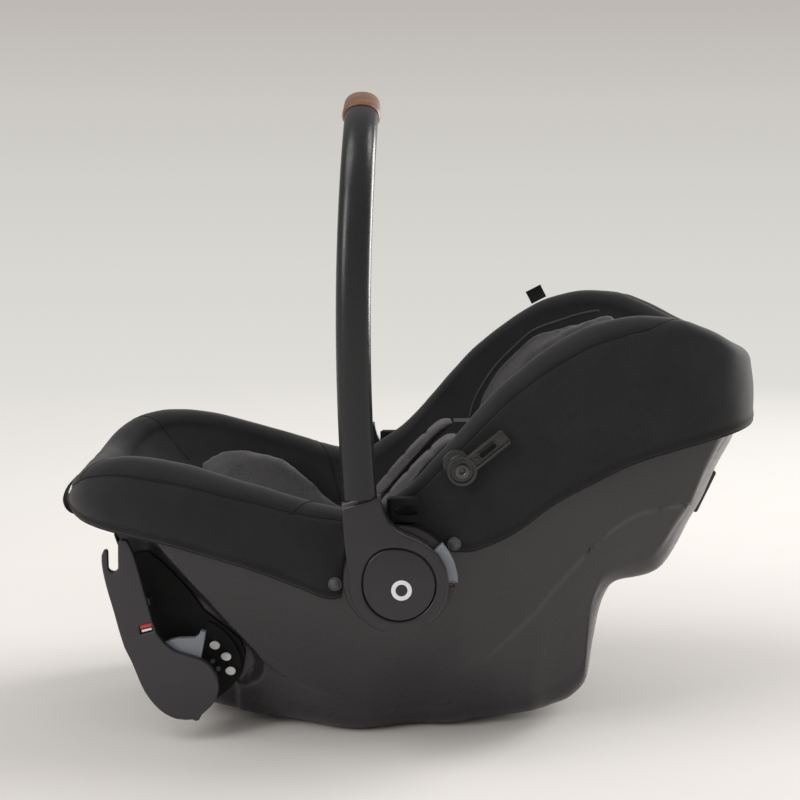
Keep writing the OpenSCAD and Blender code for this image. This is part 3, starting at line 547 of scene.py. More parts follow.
def plastic(name, rgb, rough, grain=2200, depth=.03, spread=.10, wear=True, **sockets):
    """Moulded plastic: spark-eroded grain, slow changes of tone, faint scuffs that dull the gloss."""
    p = Paint(name, rough, **sockets)
    base = linear(rgb)
    slow = p.noise(14, 3)
    tone = p.ramp(slow, [(.3, tuple(c * (1 - spread) for c in base)), (.7, tuple(c * (1 + spread) for c in base))])
    scuff = p.noise(90, 4, .65, p.stretch((1, .35, 2.2), (0, .5, .3)))
    if wear:
        light = tuple(min(1, c * 1.35 + .006) for c in base)
        tone = p.mix(p.span(scuff, .66, .82, 0, .35), tone, light)
    p.colour(tone)
    p.roughness(p.span(scuff, .3, .8, rough - .05, rough + .09))
    p.bump(p.noise(grain, 2), .35, depth)
    p.bump(p.noise(6, 2), .25, .5)
    return p.mat


def melange(name, dark, light, knit=520, fuzz=.35, rough=.92, depth=.28, tilt=.5, mixing=(.36, .66)):
    """Knitted melange: rows of loops, two yarns twisted together, and soft fuzz over them."""
    p = Paint(name, rough, Sheen_Weight=fuzz, Sheen_Roughness=.45)
    a, b = linear(dark), linear(light)
    turned = p.stretch((1, 1, 1), (0, tilt, 0))
    yarn = p.noise(knit * 1.5, 3, .6, p.stretch((1, 1, 2.4), (0, tilt, 0)))
    cloud = p.noise(28, 3)
    blend = p.maths("ADD", yarn, p.span(cloud, .3, .7, -.06, .06))
    p.colour(p.ramp(blend, [(mixing[0], a), (mixing[1], b)]))
    loops = p.maths("MULTIPLY", p.waves(knit, "X", 1.2, turned), p.waves(knit * .62, "Z", 1.2, turned))
    p.bump(loops, .5, depth)
    p.bump(p.noise(knit * 2.6, 2), .3, depth * .6)
    p.bump(p.noise(16, 2), .35, 1.2)
    p.roughness(p.span(yarn, .3, .7, rough - .08, min(1, rough + .05)))
    return p.mat


def hide(name, dark, light, rough=.5):
    """Leather: pebbled grain with creases, patchy dye and a waxed sheen."""
    p = Paint(name, rough, Coat_Weight=.12, Coat_Roughness=.35)
    grain = p.cells(720)
    patch = p.noise(60, 4, .6)
    p.colour(p.mix(p.span(grain, .1, .55, .35, 0), p.ramp(patch, [(.3, linear(dark)), (.72, linear(light))]),
                   tuple(c * .55 for c in linear(dark))))
    p.roughness(p.span(patch, .3, .7, rough - .08, rough + .1))
    p.bump(grain, .45, .22)
    p.bump(p.cells(260, "SMOOTH_F1"), .2, .3)
    return p.mat


def metal(name, rgb, rough, brushed=(1, 1, 14), grain=900):
    """Steel or zinc: drawn or tumbled grain with duller patches."""
    p = Paint(name, rough, 1.0)
    base = linear(rgb)
    lines = p.noise(grain, 3, .6, p.stretch(brushed))
    patch = p.noise(70, 3)
    p.colour(p.ramp(patch, [(.3, tuple(c * .85 for c in base)), (.7, base)]))
    p.roughness(p.span(lines, .3, .7, rough - .08, rough + .1))
    p.bump(lines, .2, .03)
    return p.mat


def webbing(name, dark, light, rough=.75):
    """Woven strap: fine ribs across it and a herringbone along it, laid out by the strap's own map."""
    p = Paint(name, rough, Sheen_Weight=.15, Sheen_Roughness=.4)
    uv = p.add("ShaderNodeTexCoord").outputs["UV"]
    across = p.add("ShaderNodeMapping")
    across.inputs["Scale"].default_value = (1, 1, 1)
    p.wire(uv, across.inputs["Vector"])
    ribs = p.waves(9.5, "X", 0, across.outputs["Vector"])
    picks = p.waves(190, "Y", .6, across.outputs["Vector"])
    weave = p.maths("MULTIPLY", ribs, picks)
    speck = p.noise(900, 2)
    p.colour(p.ramp(p.maths("ADD", weave, p.span(speck, .3, .7, -.15, .15)),
                    [(.15, linear(dark)), (.8, linear(light))]))
    p.bump(weave, .6, .25)
    p.bump(speck, .2, .1)
    p.roughness(p.span(weave, 0, 1, rough + .1, rough - .1))
    return p.mat


def beads(name, rgb):
    """Expanded foam: fused beads with darker joints."""
    p = Paint(name, .85)
    cell = p.cells(240)
    base = linear(rgb)
    p.colour(p.ramp(cell, [(.05, base), (.6, tuple(c * .72 for c in base))]))
    p.roughness(p.span(cell, 0, .7, .8, .95))
    p.bump(p.maths("SUBTRACT", 1.0, cell), .6, .5)
    return p.mat


MAT = {
    "shell": plastic("shell", (44, 42, 45), .3, spread=.05),
    "handle": plastic("handle", (19, 19, 22), .3, grain=2600, depth=.02, spread=.05),
    "leg": plastic("leg", (33, 31, 34), .34, grain=2600, depth=.02, spread=.05),
    "cap": plastic("cap", (31, 29, 34), .3, grain=2800, depth=.015, spread=.05),
    "plate": plastic("plate", (50, 48, 52), .48, spread=.06),
    "grey": plastic("grey", (122, 127, 135), .4, spread=.05),
    "black": plastic("black", (22, 22, 24), .38, spread=.12),
    # near-black plastic for the index rings, belt guides and indicator wells; on the recess floors it is painted shade
    "deep": plastic("deep", (9, 9, 10), .7, spread=.12, Specular_IOR_Level=.25),
    "bracket": plastic("bracket", (34, 35, 35), .25, spread=.1),
    "white": plastic("white", (228, 228, 231), .35, spread=.02, wear=False),
    "red": plastic("red", (196, 46, 40), .35, spread=.05),
    "bucket": plastic("bucket", (44, 44, 46), .55),
    "stud": plastic("stud", (74, 75, 77), .45, spread=.08),
    "cover": melange("cover", (4, 4, 6), (31, 31, 34), knit=480, fuzz=.16),
    "binding": melange("binding", (5, 5, 6), (22, 22, 25), knit=700, fuzz=.06, depth=.15),
    "deep_thread": melange("deep_thread", (4, 4, 5), (14, 14, 16), knit=1400, fuzz=0.0, depth=.08),
    "insert": melange("insert", (46, 45, 48), (84, 83, 86), knit=620, fuzz=.25, tilt=.2),
    "head": melange("head", (48, 47, 50), (88, 86, 90), knit=620, fuzz=.25, tilt=.9),
    "pads": melange("pads", (40, 39, 42), (76, 74, 78), knit=620, fuzz=.2, tilt=.2),
    "seam": melange("seam", (30, 30, 32), (60, 60, 62), knit=1400, fuzz=.05, depth=.1),
    "leather": hide("leather", (92, 58, 38), (132, 88, 60)),
    "thread": melange("thread", (104, 70, 48), (150, 110, 80), knit=1800, fuzz=.05, depth=.08),
    "steel": metal("steel", (168, 168, 170), .34),
    "dark_steel": metal("dark_steel", (92, 92, 92), .4),
    "foam": beads("foam", (226, 226, 220)),
    "webbing": webbing("webbing", (10, 10, 11), (44, 44, 46)),
}


def finish_piece(ob, material, body, nodes=()):
    """Material, body and the CAD nodes that a finished piece stands for."""
    if material is not None:
        ob.data.materials.clear()
        ob.data.materials.append(MAT[material])
        for f in ob.data.polygons:
            f.material_index = 0
    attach(ob, body)
    if nodes:
        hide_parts(*nodes)
    return ob


def paint_node(name, material):
    """New material in every slot of a CAD node that keeps its shape."""
    ob = NODES[name]
    for s in ob.material_slots or []:
        s.material = MAT[material]
    if not ob.material_slots:
        ob.data.materials.append(MAT[material])


# ---------- camera, floor and light ----------

def camera():
    """The photograph's view: 1.6 m off the side, a little above, a 75 mm lens."""
    data = bpy.data.cameras.new("view")
    data.lens, data.sensor_width = 74.6, 36.0
    data.clip_end = 100
    ob = bpy.data.objects.new("view", data)
    ob.location = (-.037, -1.62, .523)
    ob.rotation_euler = (math.radians(90 - 7.902), 0, math.radians(-1.541))
    bpy.context.scene.collection.objects.link(ob)
    bpy.context.scene.camera = ob


def floor():
    """Pale floor whose far edge fades out into the backdrop."""
    me = bpy.data.meshes.new("floor")
    bm = bmesh.new()
    bmesh.ops.create_circle(bm, cap_ends=True, segments=96, radius=9)
    bm.to_mesh(me)
    bm.free()
    ob = bpy.data.objects.new("floor", me)
    ob.location.z = -.0006
    bpy.context.scene.collection.objects.link(ob)
    p = Paint("floor", .9, Specular_IOR_Level=.1)
    p.colour(p.ramp(p.noise(3, 2), [(.3, (.742, .722, .70)), (.7, (.752, .732, .71))]))
    far = p.add("ShaderNodeVectorMath", operation="LENGTH")
    p.wire(p.where, far.inputs[0])
    fade = p.span(far.outputs["Value"], .75, 2.6, 1, 0)
    p.wire(fade, p.bsdf.inputs["Alpha"])
    me.materials.append(p.mat)


AIR = [(-.36, (232, 228, 223)), (-.25, (231, 228, 223)), (-.197, (228, 226, 221)), (-.1375, (225, 223, 219)),
       (-.078, (218, 217, 212)), (-.018, (212, 210, 205)), (.043, (203, 200, 195)), (.0925, (190, 185, 181)),
       (.25, (176, 172, 168)), (1, (196, 194, 192))]


def backdrop():
    """Soft grey air, darker overhead than at the horizon."""
    world = bpy.data.worlds.new("air")
    bpy.context.scene.world = world
    world.use_nodes = True
    tree = world.node_tree
    back = tree.nodes["Background"]
    where = tree.nodes.new("ShaderNodeTexCoord")
    parts = tree.nodes.new("ShaderNodeSeparateXYZ")
    ramp = tree.nodes.new("ShaderNodeValToRGB")
    lift = tree.nodes.new("ShaderNodeMapRange")
    lift.inputs["From Min"].default_value, lift.inputs["From Max"].default_value = -1, 1
    tree.links.new(where.outputs["Generated"], parts.inputs[0])
    tree.links.new(parts.outputs["Z"], lift.inputs["Value"])
    tree.links.new(lift.outputs["Result"], ramp.inputs["Fac"])
    while len(ramp.color_ramp.elements) < len(AIR):
        ramp.color_ramp.elements.new(.5)
    for e, (at, c) in zip(ramp.color_ramp.elements, AIR):
        e.position, e.color = (at + 1) / 2, (*linear(c), 1)
    tree.links.new(ramp.outputs["Color"], back.inputs["Color"])
    back.inputs["Strength"].default_value = 1.0


def sun(name, toward, strength, angle, colour=(1, 1, 1)):
    """Far, even light with soft shadows, from a direction given as the place it shines from."""
    data = bpy.data.lights.new(name, "SUN")
    data.energy, data.angle, data.color = strength, math.radians(angle), colour
    ob = bpy.data.objects.new(name, data)
    ob.rotation_euler = (-Vector(toward)).to_track_quat("-Z", "Y").to_euler()
    bpy.context.scene.collection.objects.link(ob)


def area_light(name, place, aim, size, power, colour=(1, 1, 1), height=None):
    data = bpy.data.lights.new(name, "AREA")
    data.shape = "RECTANGLE"
    data.size, data.size_y, data.energy, data.color = size, height or size, power, colour
    ob = bpy.data.objects.new(name, data)
    ob.location = place
    ob.rotation_euler = (Vector(aim) - Vector(place)).to_track_quat("-Z", "Y").to_euler()
    bpy.context.scene.collection.objects.link(ob)


def lights():
    sun("sky_left", (-1.2, -.35, 1.9), .88, 34, (1, .99, .97))
    sun("sky_right", (1.5, .3, 1.7), .74, 24, (1, .985, .965))
    area_light("edge", (3.4, 2.2, .9), (0, 0, .25), 1.4, 190, (1, .99, .98), 2.6)
    area_light("left_front", (-3.4, -2.6, 2.2), (0, 0, .3), 1.0, 60, (1, .99, .98), 2.4)


bpy.context.scene.view_settings.view_transform = "Standard"

# ---------- shell ----------

# Front edge of the side panel, where it breaks into the recess behind the latch plate
RECESS = [(-330, 215), (-232, 215), (-219, 196), (-206, 179), (-190, 159.5), (-174.6, 140.9), (-160, 122),
          (-147.9, 107), (-134.8, 91.9), (-126, 79), (-122, 67), (-126, 54), (-136, 43), (-154, 32), (-180, 27),
          (-330, 27)]
# Crease between the side panel and the belly that tucks in under it
BELLY = [(-150, 109.5), (-134.8, 91.9), (-117.3, 73.8), (-99.2, 59.5), (-78.2, 47.9), (-50, 40), (-10, 36),
         (25, 40), (48, 51), (66, 64.5), (82.4, 79.5), (97.5, 94.8), (122.7, 121.4), (139.5, 143.7), (156.3, 164),
         (173.1, 183.3), (189.9, 199.1), (206.6, 211.3), (218.4, 217.1), (231.8, 220.1), (250.4, 222.7), (280, 225),
         (330, 226)]
# Outline of a flat near-black plate at the back of the recess: painted shade where the opening shows only darkness
RECESS_SHADE_OUTLINE = [(-231, 172), (-217, 160.7), (-203.5, 146.4), (-191.6, 132.1), (-179.4, 114.7), (-159.6, 98.7),
          (-146, 86.5), (-141, 73), (-144.5, 54), (-154.5, 41), (-167, 31), (-196, 31), (-206, 43), (-216, 65),
          (-226, 94), (-234, 119), (-241, 149), (-245, 170)]
BULGE = [(.44, 0), (.5, 20), (.53, 24), (.57, 34), (.86, 37), (.925, 20), (.955, 9)]


def inside_distance(poly, x, z):
    """Distance from points to a polygon's edge, positive inside."""
    p = np.array(poly, float)
    q = np.roll(p, -1, 0)
    best = np.full(x.shape, 1e9)
    inside = np.zeros(x.shape, bool)
    for a, b in zip(p, q):
        d = b - a
        t = np.clip(((x - a[0]) * d[0] + (z - a[1]) * d[1]) / (d @ d), 0, 1)
        best = np.minimum(best, np.hypot(x - a[0] - t * d[0], z - a[1] - t * d[1]))
        cross = ((a[1] > z) != (b[1] > z)) & (x < (b[0] - a[0]) * (z - a[1]) / (b[1] - a[1] + 1e-12) + a[0])
        inside ^= cross
    return np.where(inside, best, -best)


def panel_inset(x, z):
    """How far the side steps and slopes in below the belly's crease."""
    crease = smooth_curve(BELLY, x)
    slope = (smooth_curve(BELLY, x + 1) - smooth_curve(BELLY, x - 1)) / 2
    d = (crease - z) / np.sqrt(1 + slope**2)
    strength = np.where(x < 0, smoothstep(40, 95, -x), smoothstep(30, 75, x))
    return strength * (3.4 * smoothstep(0, 3.4, d) + .3 * np.clip(d, 0, 80))


def shell_stations(step):
    x = np.linspace(-.86 * FOOT, .955 * HEAD, 6000)
    return resample(np.stack([x, under_z(x)], 1), step=step)[:, 0]


def shell_surface(step=3.0, side_steps=66, corner_steps=10, sole_steps=18):
    """Outer face of the shell as a grid: stations along the rocker, each a section from edge to edge."""
    xs = shell_stations(step)
    rows = []
    top = rim_z(xs) - 22
    low = under_z(xs)
    r = np.minimum(24, (top - low) / 3)
    for k in range(side_steps + 1):
        z = top - (top - low - r) * k / side_steps
        y = np.maximum(12, half_at(xs, SHELL_OFF + foot_lean(xs, rim_z(xs) - z)))
        rows.append((xs, y, z))
    y_corner = rows[-1][1]
    for k in range(1, corner_steps + 1):
        a = math.radians(90 * k / corner_steps)
        rows.append((xs, np.maximum(6, y_corner - r + r * math.cos(a)), low + r - r * math.sin(a)))
    y_sole = rows[-1][1]
    for k in range(1, sole_steps + 1):
        rows.append((xs, y_sole * (1 - k / sole_steps), low))
    x, y, z = (np.array([row[i] for row in rows]) for i in range(3))
    y = y - panel_inset(x, z) * smoothstep(0, 60, y)
    d = inside_distance(RECESS, x, z)
    width = 11 + 12 * smoothstep(90, 170, z)
    floor_y = RECESS_Y - 4 + 0 * x
    sunk = np.sqrt(smoothstep(0, 1, d / width))
    y = np.where((x < -60) & (y > floor_y), y - (y - floor_y) * sunk, y)
    back = np.where(x < 0, 0, smooth_curve(BULGE, x / HEAD))
    x = x + back * (1 - np.minimum(1, np.abs(y) / 130)**2)
    left = tuck(np.stack([x, y, z], -1))
    right = left[:-1][::-1] * np.array([1, -1, 1])
    return np.concatenate([left, right])


def build_shell():
    ob = grid_object("rocker_shell", shell_surface())
    thicken(ob, SHELL_WALL, (20, 0, 160), 60)
    finish_piece(ob, "shell", "seat", ["outer_shell"])
    for side, s in SIDES:
        # near-black plate in each side recess: painted shade, standing in for the darkness seen through the opening
        shade_plate = plate("shade_plate", [RECESS_SHADE_OUTLINE], RECESS_Y - 3.6, RECESS_Y - .1, .5)
        finish_piece(mirrored_piece(shade_plate, "painted_recess_shade_" + side, s), "deep", "seat")


# ---------- cover ----------

TURNS = 300
ROLL_ROWS = 22
APRON_ROWS = 26
BOWL_SHARES = np.concatenate([np.linspace(.03, .55, 12), np.linspace(.6, .86, 10), np.linspace(.88, .99, 12), [1]])


def apron_rows(a, thick=0.0):
    """The cover's face from the roll's inner edge over the top and down to the hem, at turns a."""
    qx, _ = outline(a, 0)
    crest = rim_z(qx)
    hem = np.minimum(crest - ROLL_R - 12, hem_z(qx))
    r = ROLL_R - thick
    rows = []
    for k in range(1, ROLL_ROWS + 1):
        b = math.pi * k / ROLL_ROWS
        x, y = outline(a, ROLL_R + r * math.cos(b))
        rows.append(tuck(np.stack([x, y, crest - ROLL_R + r * math.sin(b)], -1)))
    for k in range(1, APRON_ROWS + 1):
        t = k / APRON_ROWS
        z = crest - ROLL_R + (hem - crest + ROLL_R) * t
        full = 1.6 * math.sin(math.pi * t)
        x, y = outline(a, thick - full + foot_lean(qx, crest - z))
        rows.append(tuck(np.stack([x, y, z], -1)))
    return rows


def turns(count=TURNS):
    """Turns spaced evenly along the outline, in degrees, from the head end round."""
    a = np.linspace(0, 360, 4001)
    x, y = outline(a, 0)
    d = np.concatenate([[0], np.cumsum(np.hypot(np.diff(x), np.diff(y)))])
    return np.interp(np.linspace(0, d[-1], count + 1)[:-1], d, a)


def lining_rows(a, off=INSIDE_OFF, shares=BOWL_SHARES):
    rows = []
    for f in shares:
        x, y = outline(a, off, f)
        rows.append(tuck(np.stack([x, y, bowl_z(x, f, off)], -1)))
    return rows


# How far below the rim's crest the cover's outer seam runs, by place along the seat
SEAM_DROP = [(-305, 14), (-223, 14.3), (-113, 11), (-49, 7.5), (60, 10), (105, 11.7), (179, 12.4), (218, 10.5),
             (238, 4.4), (253, .8), (270, 0), (338, 0)]


def seam_rows(a):
    """Row of the cover's grid, with a fraction, that the outer seam follows at turns a."""
    x = outline(a, 0)[0]
    drop = np.clip(smooth_curve(SEAM_DROP, x), 0, ROLL_R - .4)
    turn = 180 - np.degrees(np.arcsin((ROLL_R - drop) / ROLL_R))
    return len(BOWL_SHARES) - 1 + turn / 180 * ROLL_ROWS


def on_grid(grid, rows, columns):
    """Points of a closed grid at fractional rows and columns."""
    m, n = grid.shape[:2]
    i = np.clip(np.floor(rows).astype(int), 0, m - 2)
    j = np.floor(columns).astype(int) % n
    u, v = (rows - i)[:, None], (columns - np.floor(columns))[:, None]
    k = (j + 1) % n
    return ((1 - u) * (1 - v) * grid[i, j] + u * (1 - v) * grid[i + 1, j]
            + (1 - u) * v * grid[i, k] + u * v * grid[i + 1, k])


def cross_seams(a):
    """Seams over the roll: rows and columns where the side bolsters' cloth is pieced together."""
    out = []
    first = len(BOWL_SHARES) - 1
    for x_out, x_in, deep in ((-96, -60, 13), (-288, -262, 9)):
        rows = np.linspace(first + ROLL_ROWS * .93, first - deep, 40)
        t = np.linspace(0, 1, 40)
        xs = x_out + (x_in - x_out) * t**.8
        for s in (1, -1):
            near = np.sign(np.sin(np.radians(a))) == s
            ax, order = outline(a, 0)[0], np.arange(len(a))
            keep = order[near & (np.abs(outline(a, 0)[1]) > 60)]
            keep = keep[np.argsort(ax[keep])]
            out.append((rows, np.interp(xs, ax[keep], keep)))
    return out


def build_cover():
    a = turns()
    grid = np.array(lining_rows(a) + apron_rows(a))
    m = len(grid)
    # slow slackness in the cloth, none at the seams
    wave = hash_noise(grid, 55, 3.1) * 1.3 + hash_noise(grid, 22, 7.7) * .45
    du = np.gradient(grid, axis=0)
    dv = (np.roll(grid, -1, 1) - np.roll(grid, 1, 1)) / 2
    nor = np.cross(du, dv)
    nor /= np.linalg.norm(nor, axis=2)[:, :, None] + 1e-9
    nor *= np.sign((nor[-6] * (grid[-6] - grid[-6].mean(0))).sum(-1).mean())
    seam = seam_rows(a)
    far = np.abs(np.arange(m)[:, None] - seam[None])
    hold = (1 - .85 * np.exp(-(far / 3.0)**2)) * (1 - .85 * np.exp(-((np.arange(m) - m + 1) / 3.0)**2))[:, None]
    # the seam draws the cloth in on both sides of it
    sink = 1.5 * np.exp(-(far / .95)**2)
    columns = np.arange(len(a), dtype=float)
    crossings = cross_seams(a)
    for rows, cols in crossings:
        for r, c in zip(rows, cols):
            i0, i1 = int(max(0, r - 3)), int(min(m, r + 4))
            d = np.hypot(np.arange(i0, i1)[:, None] - r, (columns[None] - c) * 1.35)
            sink[i0:i1] = np.maximum(sink[i0:i1], 1.1 * np.exp(-(d / 1.0)**2))
    grid = grid + nor * (wave * hold - sink)[:, :, None]
    ob = grid_object("seat_cover_cloth", grid, wrap_n=True)
    bm = bmesh.new()
    bm.from_mesh(ob.data)
    bm.verts.ensure_lookup_table()
    bm.faces.new([bm.verts[i] for i in range(len(a))])
    bmesh.ops.recalc_face_normals(bm, faces=bm.faces)
    bm.to_mesh(ob.data)
    bm.free()
    apron = ob.data.polygons[(m - 6) * len(a)]
    if apron.normal.dot(apron.center - Vector((0, 0, apron.center.z))) < 0:
        ob.data.flip_normals()
    modifier(ob, "SOLIDIFY", thickness=CLOTH * MM, offset=-1, use_even_offset=False)
    apply_modifiers(ob, 180)
    finish_piece(ob, "cover", "seat", ["seat_cover"])
    pipes = [bead("pipe", on_grid(grid, seam, columns), .75, closed=True)]
    pipes += [bead("pipe", resample(on_grid(grid, rows, cols), step=2), .6) for rows, cols in crossings]
    finish_piece(join("cover_piping", pipes), "deep_thread", "seat")
    build_hem(grid, m)


def build_hem(grid, m):
    """Binding along the lower edge: a folded band with two raised lines."""
    edge, above = grid[m - 1], grid[m - 3]
    up = above - edge
    up /= np.linalg.norm(up, axis=1)[:, None] + 1e-9
    along = np.roll(edge, -1, 0) - np.roll(edge, 1, 0)
    out = np.cross(along, up)
    out /= np.linalg.norm(out, axis=1)[:, None]
    centre = edge.mean(0)
    out *= np.sign(((edge - centre) * out).sum(1))[:, None]
    profile = [(-2.4, -3.2), (-2.6, -1.6), (-1.9, -.2), (-.6, .35), (.4, -.35), (1.4, .3), (3.4, .5), (5.6, .3),
               (6.5, -.4), (7.4, .15), (7.9, -.3), (7.9, -2.6), (2, -3.2)]
    rows = [edge + up * h + out * o for h, o in profile]
    ob = grid_object("cover_hem", rows, wrap_m=True, wrap_n=True, smooth=180)
    merge(ob, .001)
    finish_piece(ob, "binding", "seat")


camera()
floor()
backdrop()
lights()
build_shell()
build_cover()


# ---------- soft pieces ----------

def puff(ob, voxel=4.5, cap=8.0, pressure=4.0, pinned=None, smooth=2):
    """Remeshes a closed form and swells it as cloth under pressure; pinned(points) marks what stays still."""
    modifier(ob, "REMESH", mode="VOXEL", voxel_size=voxel * MM)
    apply_modifiers(ob)
    modifier(ob, "SMOOTH", factor=.5, iterations=smooth)
    apply_modifiers(ob)
    n = len(ob.data.vertices)
    rest = np.empty(n * 3)
    ob.data.vertices.foreach_get("co", rest)
    rest = rest.reshape(-1, 3)
    cloth = ob.modifiers.new("Cloth", "CLOTH")
    s = cloth.settings
    s.quality, s.mass = 4, .3
    s.tension_stiffness = s.compression_stiffness = 12
    s.bending_stiffness = .6
    s.use_pressure, s.uniform_pressure_force = True, pressure
    s.effector_weights.gravity = 0
    cloth.collision_settings.use_collision = False
    cloth.point_cache.frame_start, cloth.point_cache.frame_end = 1, 20
    if pinned is not None:
        group = ob.vertex_groups.new(name="still")
        weights = np.clip(pinned(rest / MM), 0, 1)
        for i in np.nonzero(weights > .02)[0]:
            group.add([int(i)], float(weights[i]), "REPLACE")
        s.vertex_group_mass = "still"
    scene = bpy.context.scene
    for f in range(1, 21):
        scene.frame_set(f)
    me = bpy.data.meshes.new_from_object(ob.evaluated_get(bpy.context.evaluated_depsgraph_get()))
    now = np.empty(n * 3)
    me.vertices.foreach_get("co", now)
    bpy.data.meshes.remove(me)
    scene.frame_set(1)
    ob.modifiers.clear()
    ob.vertex_groups.clear()
    move = np.nan_to_num(now.reshape(-1, 3) - rest)
    length = np.linalg.norm(move, axis=1)
    move *= np.minimum(1, cap * MM / np.maximum(length, 1e-9))[:, None]
    ob.data.vertices.foreach_set("co", (rest + move).ravel())
    ob.data.update()
    modifier(ob, "SUBSURF", levels=1, render_levels=1)
    apply_modifiers(ob, 180)
    return ob


def press_seams(ob, lines, depth=2.2, width=3.2):
    """Draws the face in along seam lines: each is a list of points in millimetres."""
    n = len(ob.data.vertices)
    co = np.empty(n * 3)
    no = np.empty(n * 3)
    ob.data.vertices.foreach_get("co", co)
    ob.data.vertices.foreach_get("normal", no)
    co, no = co.reshape(-1, 3) / MM, no.reshape(-1, 3)
    push = np.zeros(n)
    for line in lines:
        line = resample(line, step=3)
        for i in range(0, n, 20000):
            d = np.linalg.norm(co[i:i + 20000, None] - line[None], axis=2).min(1)
            push[i:i + 20000] = np.maximum(push[i:i + 20000], depth * np.exp(-(d / width)**2))
    co -= no * push[:, None]
    ob.data.vertices.foreach_set("co", (co * MM).ravel())
    ob.data.update()


def cast_on(ob, points, direction, lift=.3):
    """Points moved along a direction until they meet ob's face, then lifted back off it."""
    from mathutils.bvhtree import BVHTree
    tree = BVHTree.FromObject(ob, bpy.context.evaluated_depsgraph_get())
    d = Vector(direction).normalized()
    out = []
    for p in np.asarray(points, float):
        hit = tree.ray_cast(Vector(p * MM) - d * .12, d, .4)[0]
        if hit is not None:
            out.append(np.array(hit - d * lift * MM) / MM)
    return out


def stitches(name, line, body, material="thread", length=3.2, space=1.6, r=.42):
    """Row of short threads along a line of points."""
    line = resample(line, step=.8)
    d = np.concatenate([[0], np.cumsum(np.linalg.norm(np.diff(line, axis=0), axis=1))])
    parts, at = [], 0.0
    while at + length < d[-1]:
        t = np.linspace(at, at + length, 5)
        p = np.stack([np.interp(t, d, line[:, k]) for k in range(3)], 1)
        parts.append(bead("stitch", p, r, turns=6))
        at += length + space
    return finish_piece(join(name, parts), material, body)


def sheet_between(name, outer, inner):
    """Closed form between two grids of the same size."""
    outer, inner = np.asarray(outer, float), np.asarray(inner, float)
    m, n = outer.shape[:2]
    rows = np.concatenate([outer, inner[:, ::-1]], axis=1)
    pts = rows.reshape(-1, 3)
    faces = grid_faces(m, 2 * n, wrap_n=True)
    faces += [tuple(range(2 * n)), tuple(reversed(range((m - 1) * 2 * n, m * 2 * n)))]
    ob = new_object(name, pts, faces, 180)
    return merge(ob, .001)


INSERT_EDGE = [(-.66, .45), (-.58, .7), (-.49, .8), (-.39, .84), (-.3, .76), (-.2, .6), (-.06, .5), (.06, .5),
               (.18, .5), (.28, .36)]


def insert_rows(lift, count=60, across=48):
    xs = np.linspace(-.66 * FOOT, .28 * HEAD, count)
    rows = []
    for i, x in enumerate(xs):
        e = smooth_curve(INSERT_EDGE, x / (FOOT if x < 0 else HEAD)) ** (1 / 5.5)
        end = abs(2 * i / (count - 1) - 1)
        t = lift * (1 - .65 * end**4) if lift > 3 else lift
        off = INSIDE_OFF + t
        w = half_at(x, off) * e
        y = w * np.sin(np.radians(np.linspace(-90, 90, across)))
        xx = np.full(across, x)
        rows.append(np.stack([xx, y, bowl_z(xx, share_at(xx, y, off), off)], -1))
    return np.array(rows)


def build_insert():
    top, under = insert_rows(21.5), insert_rows(3.4)
    ob = sheet_between("newborn_insert", top, under)
    puff(ob, 5, 5.5, 4.0, lambda p: (lining_z(p[:, 0], p[:, 1]) > p[:, 2] - 6) * 1.0)
    xs = np.linspace(-185, 80, 40)
    lines = []
    for share in (-.56, .56):
        lines.append([top_point(top, (x + .66 * FOOT) / (.28 * HEAD + .66 * FOOT), share) for x in xs])
    for at in (.30, .62):
        lines.append([top_point(top, at, s) for s in np.linspace(-.55, .55, 24)])
    lines = [[p + np.array([0, 0, 4]) for p in line] for line in lines]
    lines = [cast_on(ob, line, (0, 0, -1), 0) for line in lines]
    press_seams(ob, [line for line in lines if len(line) > 3], 3.0, 4.2)
    finish_piece(ob, "insert", "seat", ["body_insert"])
    return ob


def top_point(rows, along, share):
    m, n = rows.shape[:2]
    i = np.clip(along, 0, 1) * (m - 1)
    j = (np.clip(share, -1, 1) + 1) / 2 * (n - 1)
    i0, j0 = int(min(i, m - 2)), int(min(j, n - 2))
    u, v = i - i0, j - j0
    return ((1 - u) * (1 - v) * rows[i0, j0] + u * (1 - v) * rows[i0 + 1, j0]
            + (1 - u) * v * rows[i0, j0 + 1] + u * v * rows[i0 + 1, j0 + 1])


HEAD_FROM, HEAD_LEN, HEAD_HALF, WING_T, WING_RISE, PAD_N = 138.0, 196.0, 118.0, 20.0, 32.0, 10.6
WING = [(0, 72), (.08, 84), (.2, 94), (.38, 101), (.57, 102), (.77, 89), (.9, 77), (1, 64)]


def headrest_row(f, out, shrink=0.0, across=41):
    """Section of the headrest a share f of the way up: its back face if out, its front face if not."""
    h = float(smooth_curve(WING, f)) - shrink
    w = HEAD_HALF - 16 * (abs(f - .4) / .6)**3 - shrink * out
    low = PAD_N + (shrink if out else WING_T - shrink)
    inner = 0 if out else WING_T - shrink
    s = HEAD_FROM + shrink + (HEAD_LEN - 2 * shrink) * f
    row = []
    for k in np.linspace(-1, 1, across):
        c, u = min(1, abs(k) / .625), max(0, (abs(k) - .625) / .375)
        foot = low + WING_RISE * (1 if out else .75) * c**4
        row.append(on_back(s, math.copysign(1, k) * (w - inner) * (.86 * c + .14 * math.sin(math.pi / 2 * u)),
                           foot + (h - foot) * u))
    return row


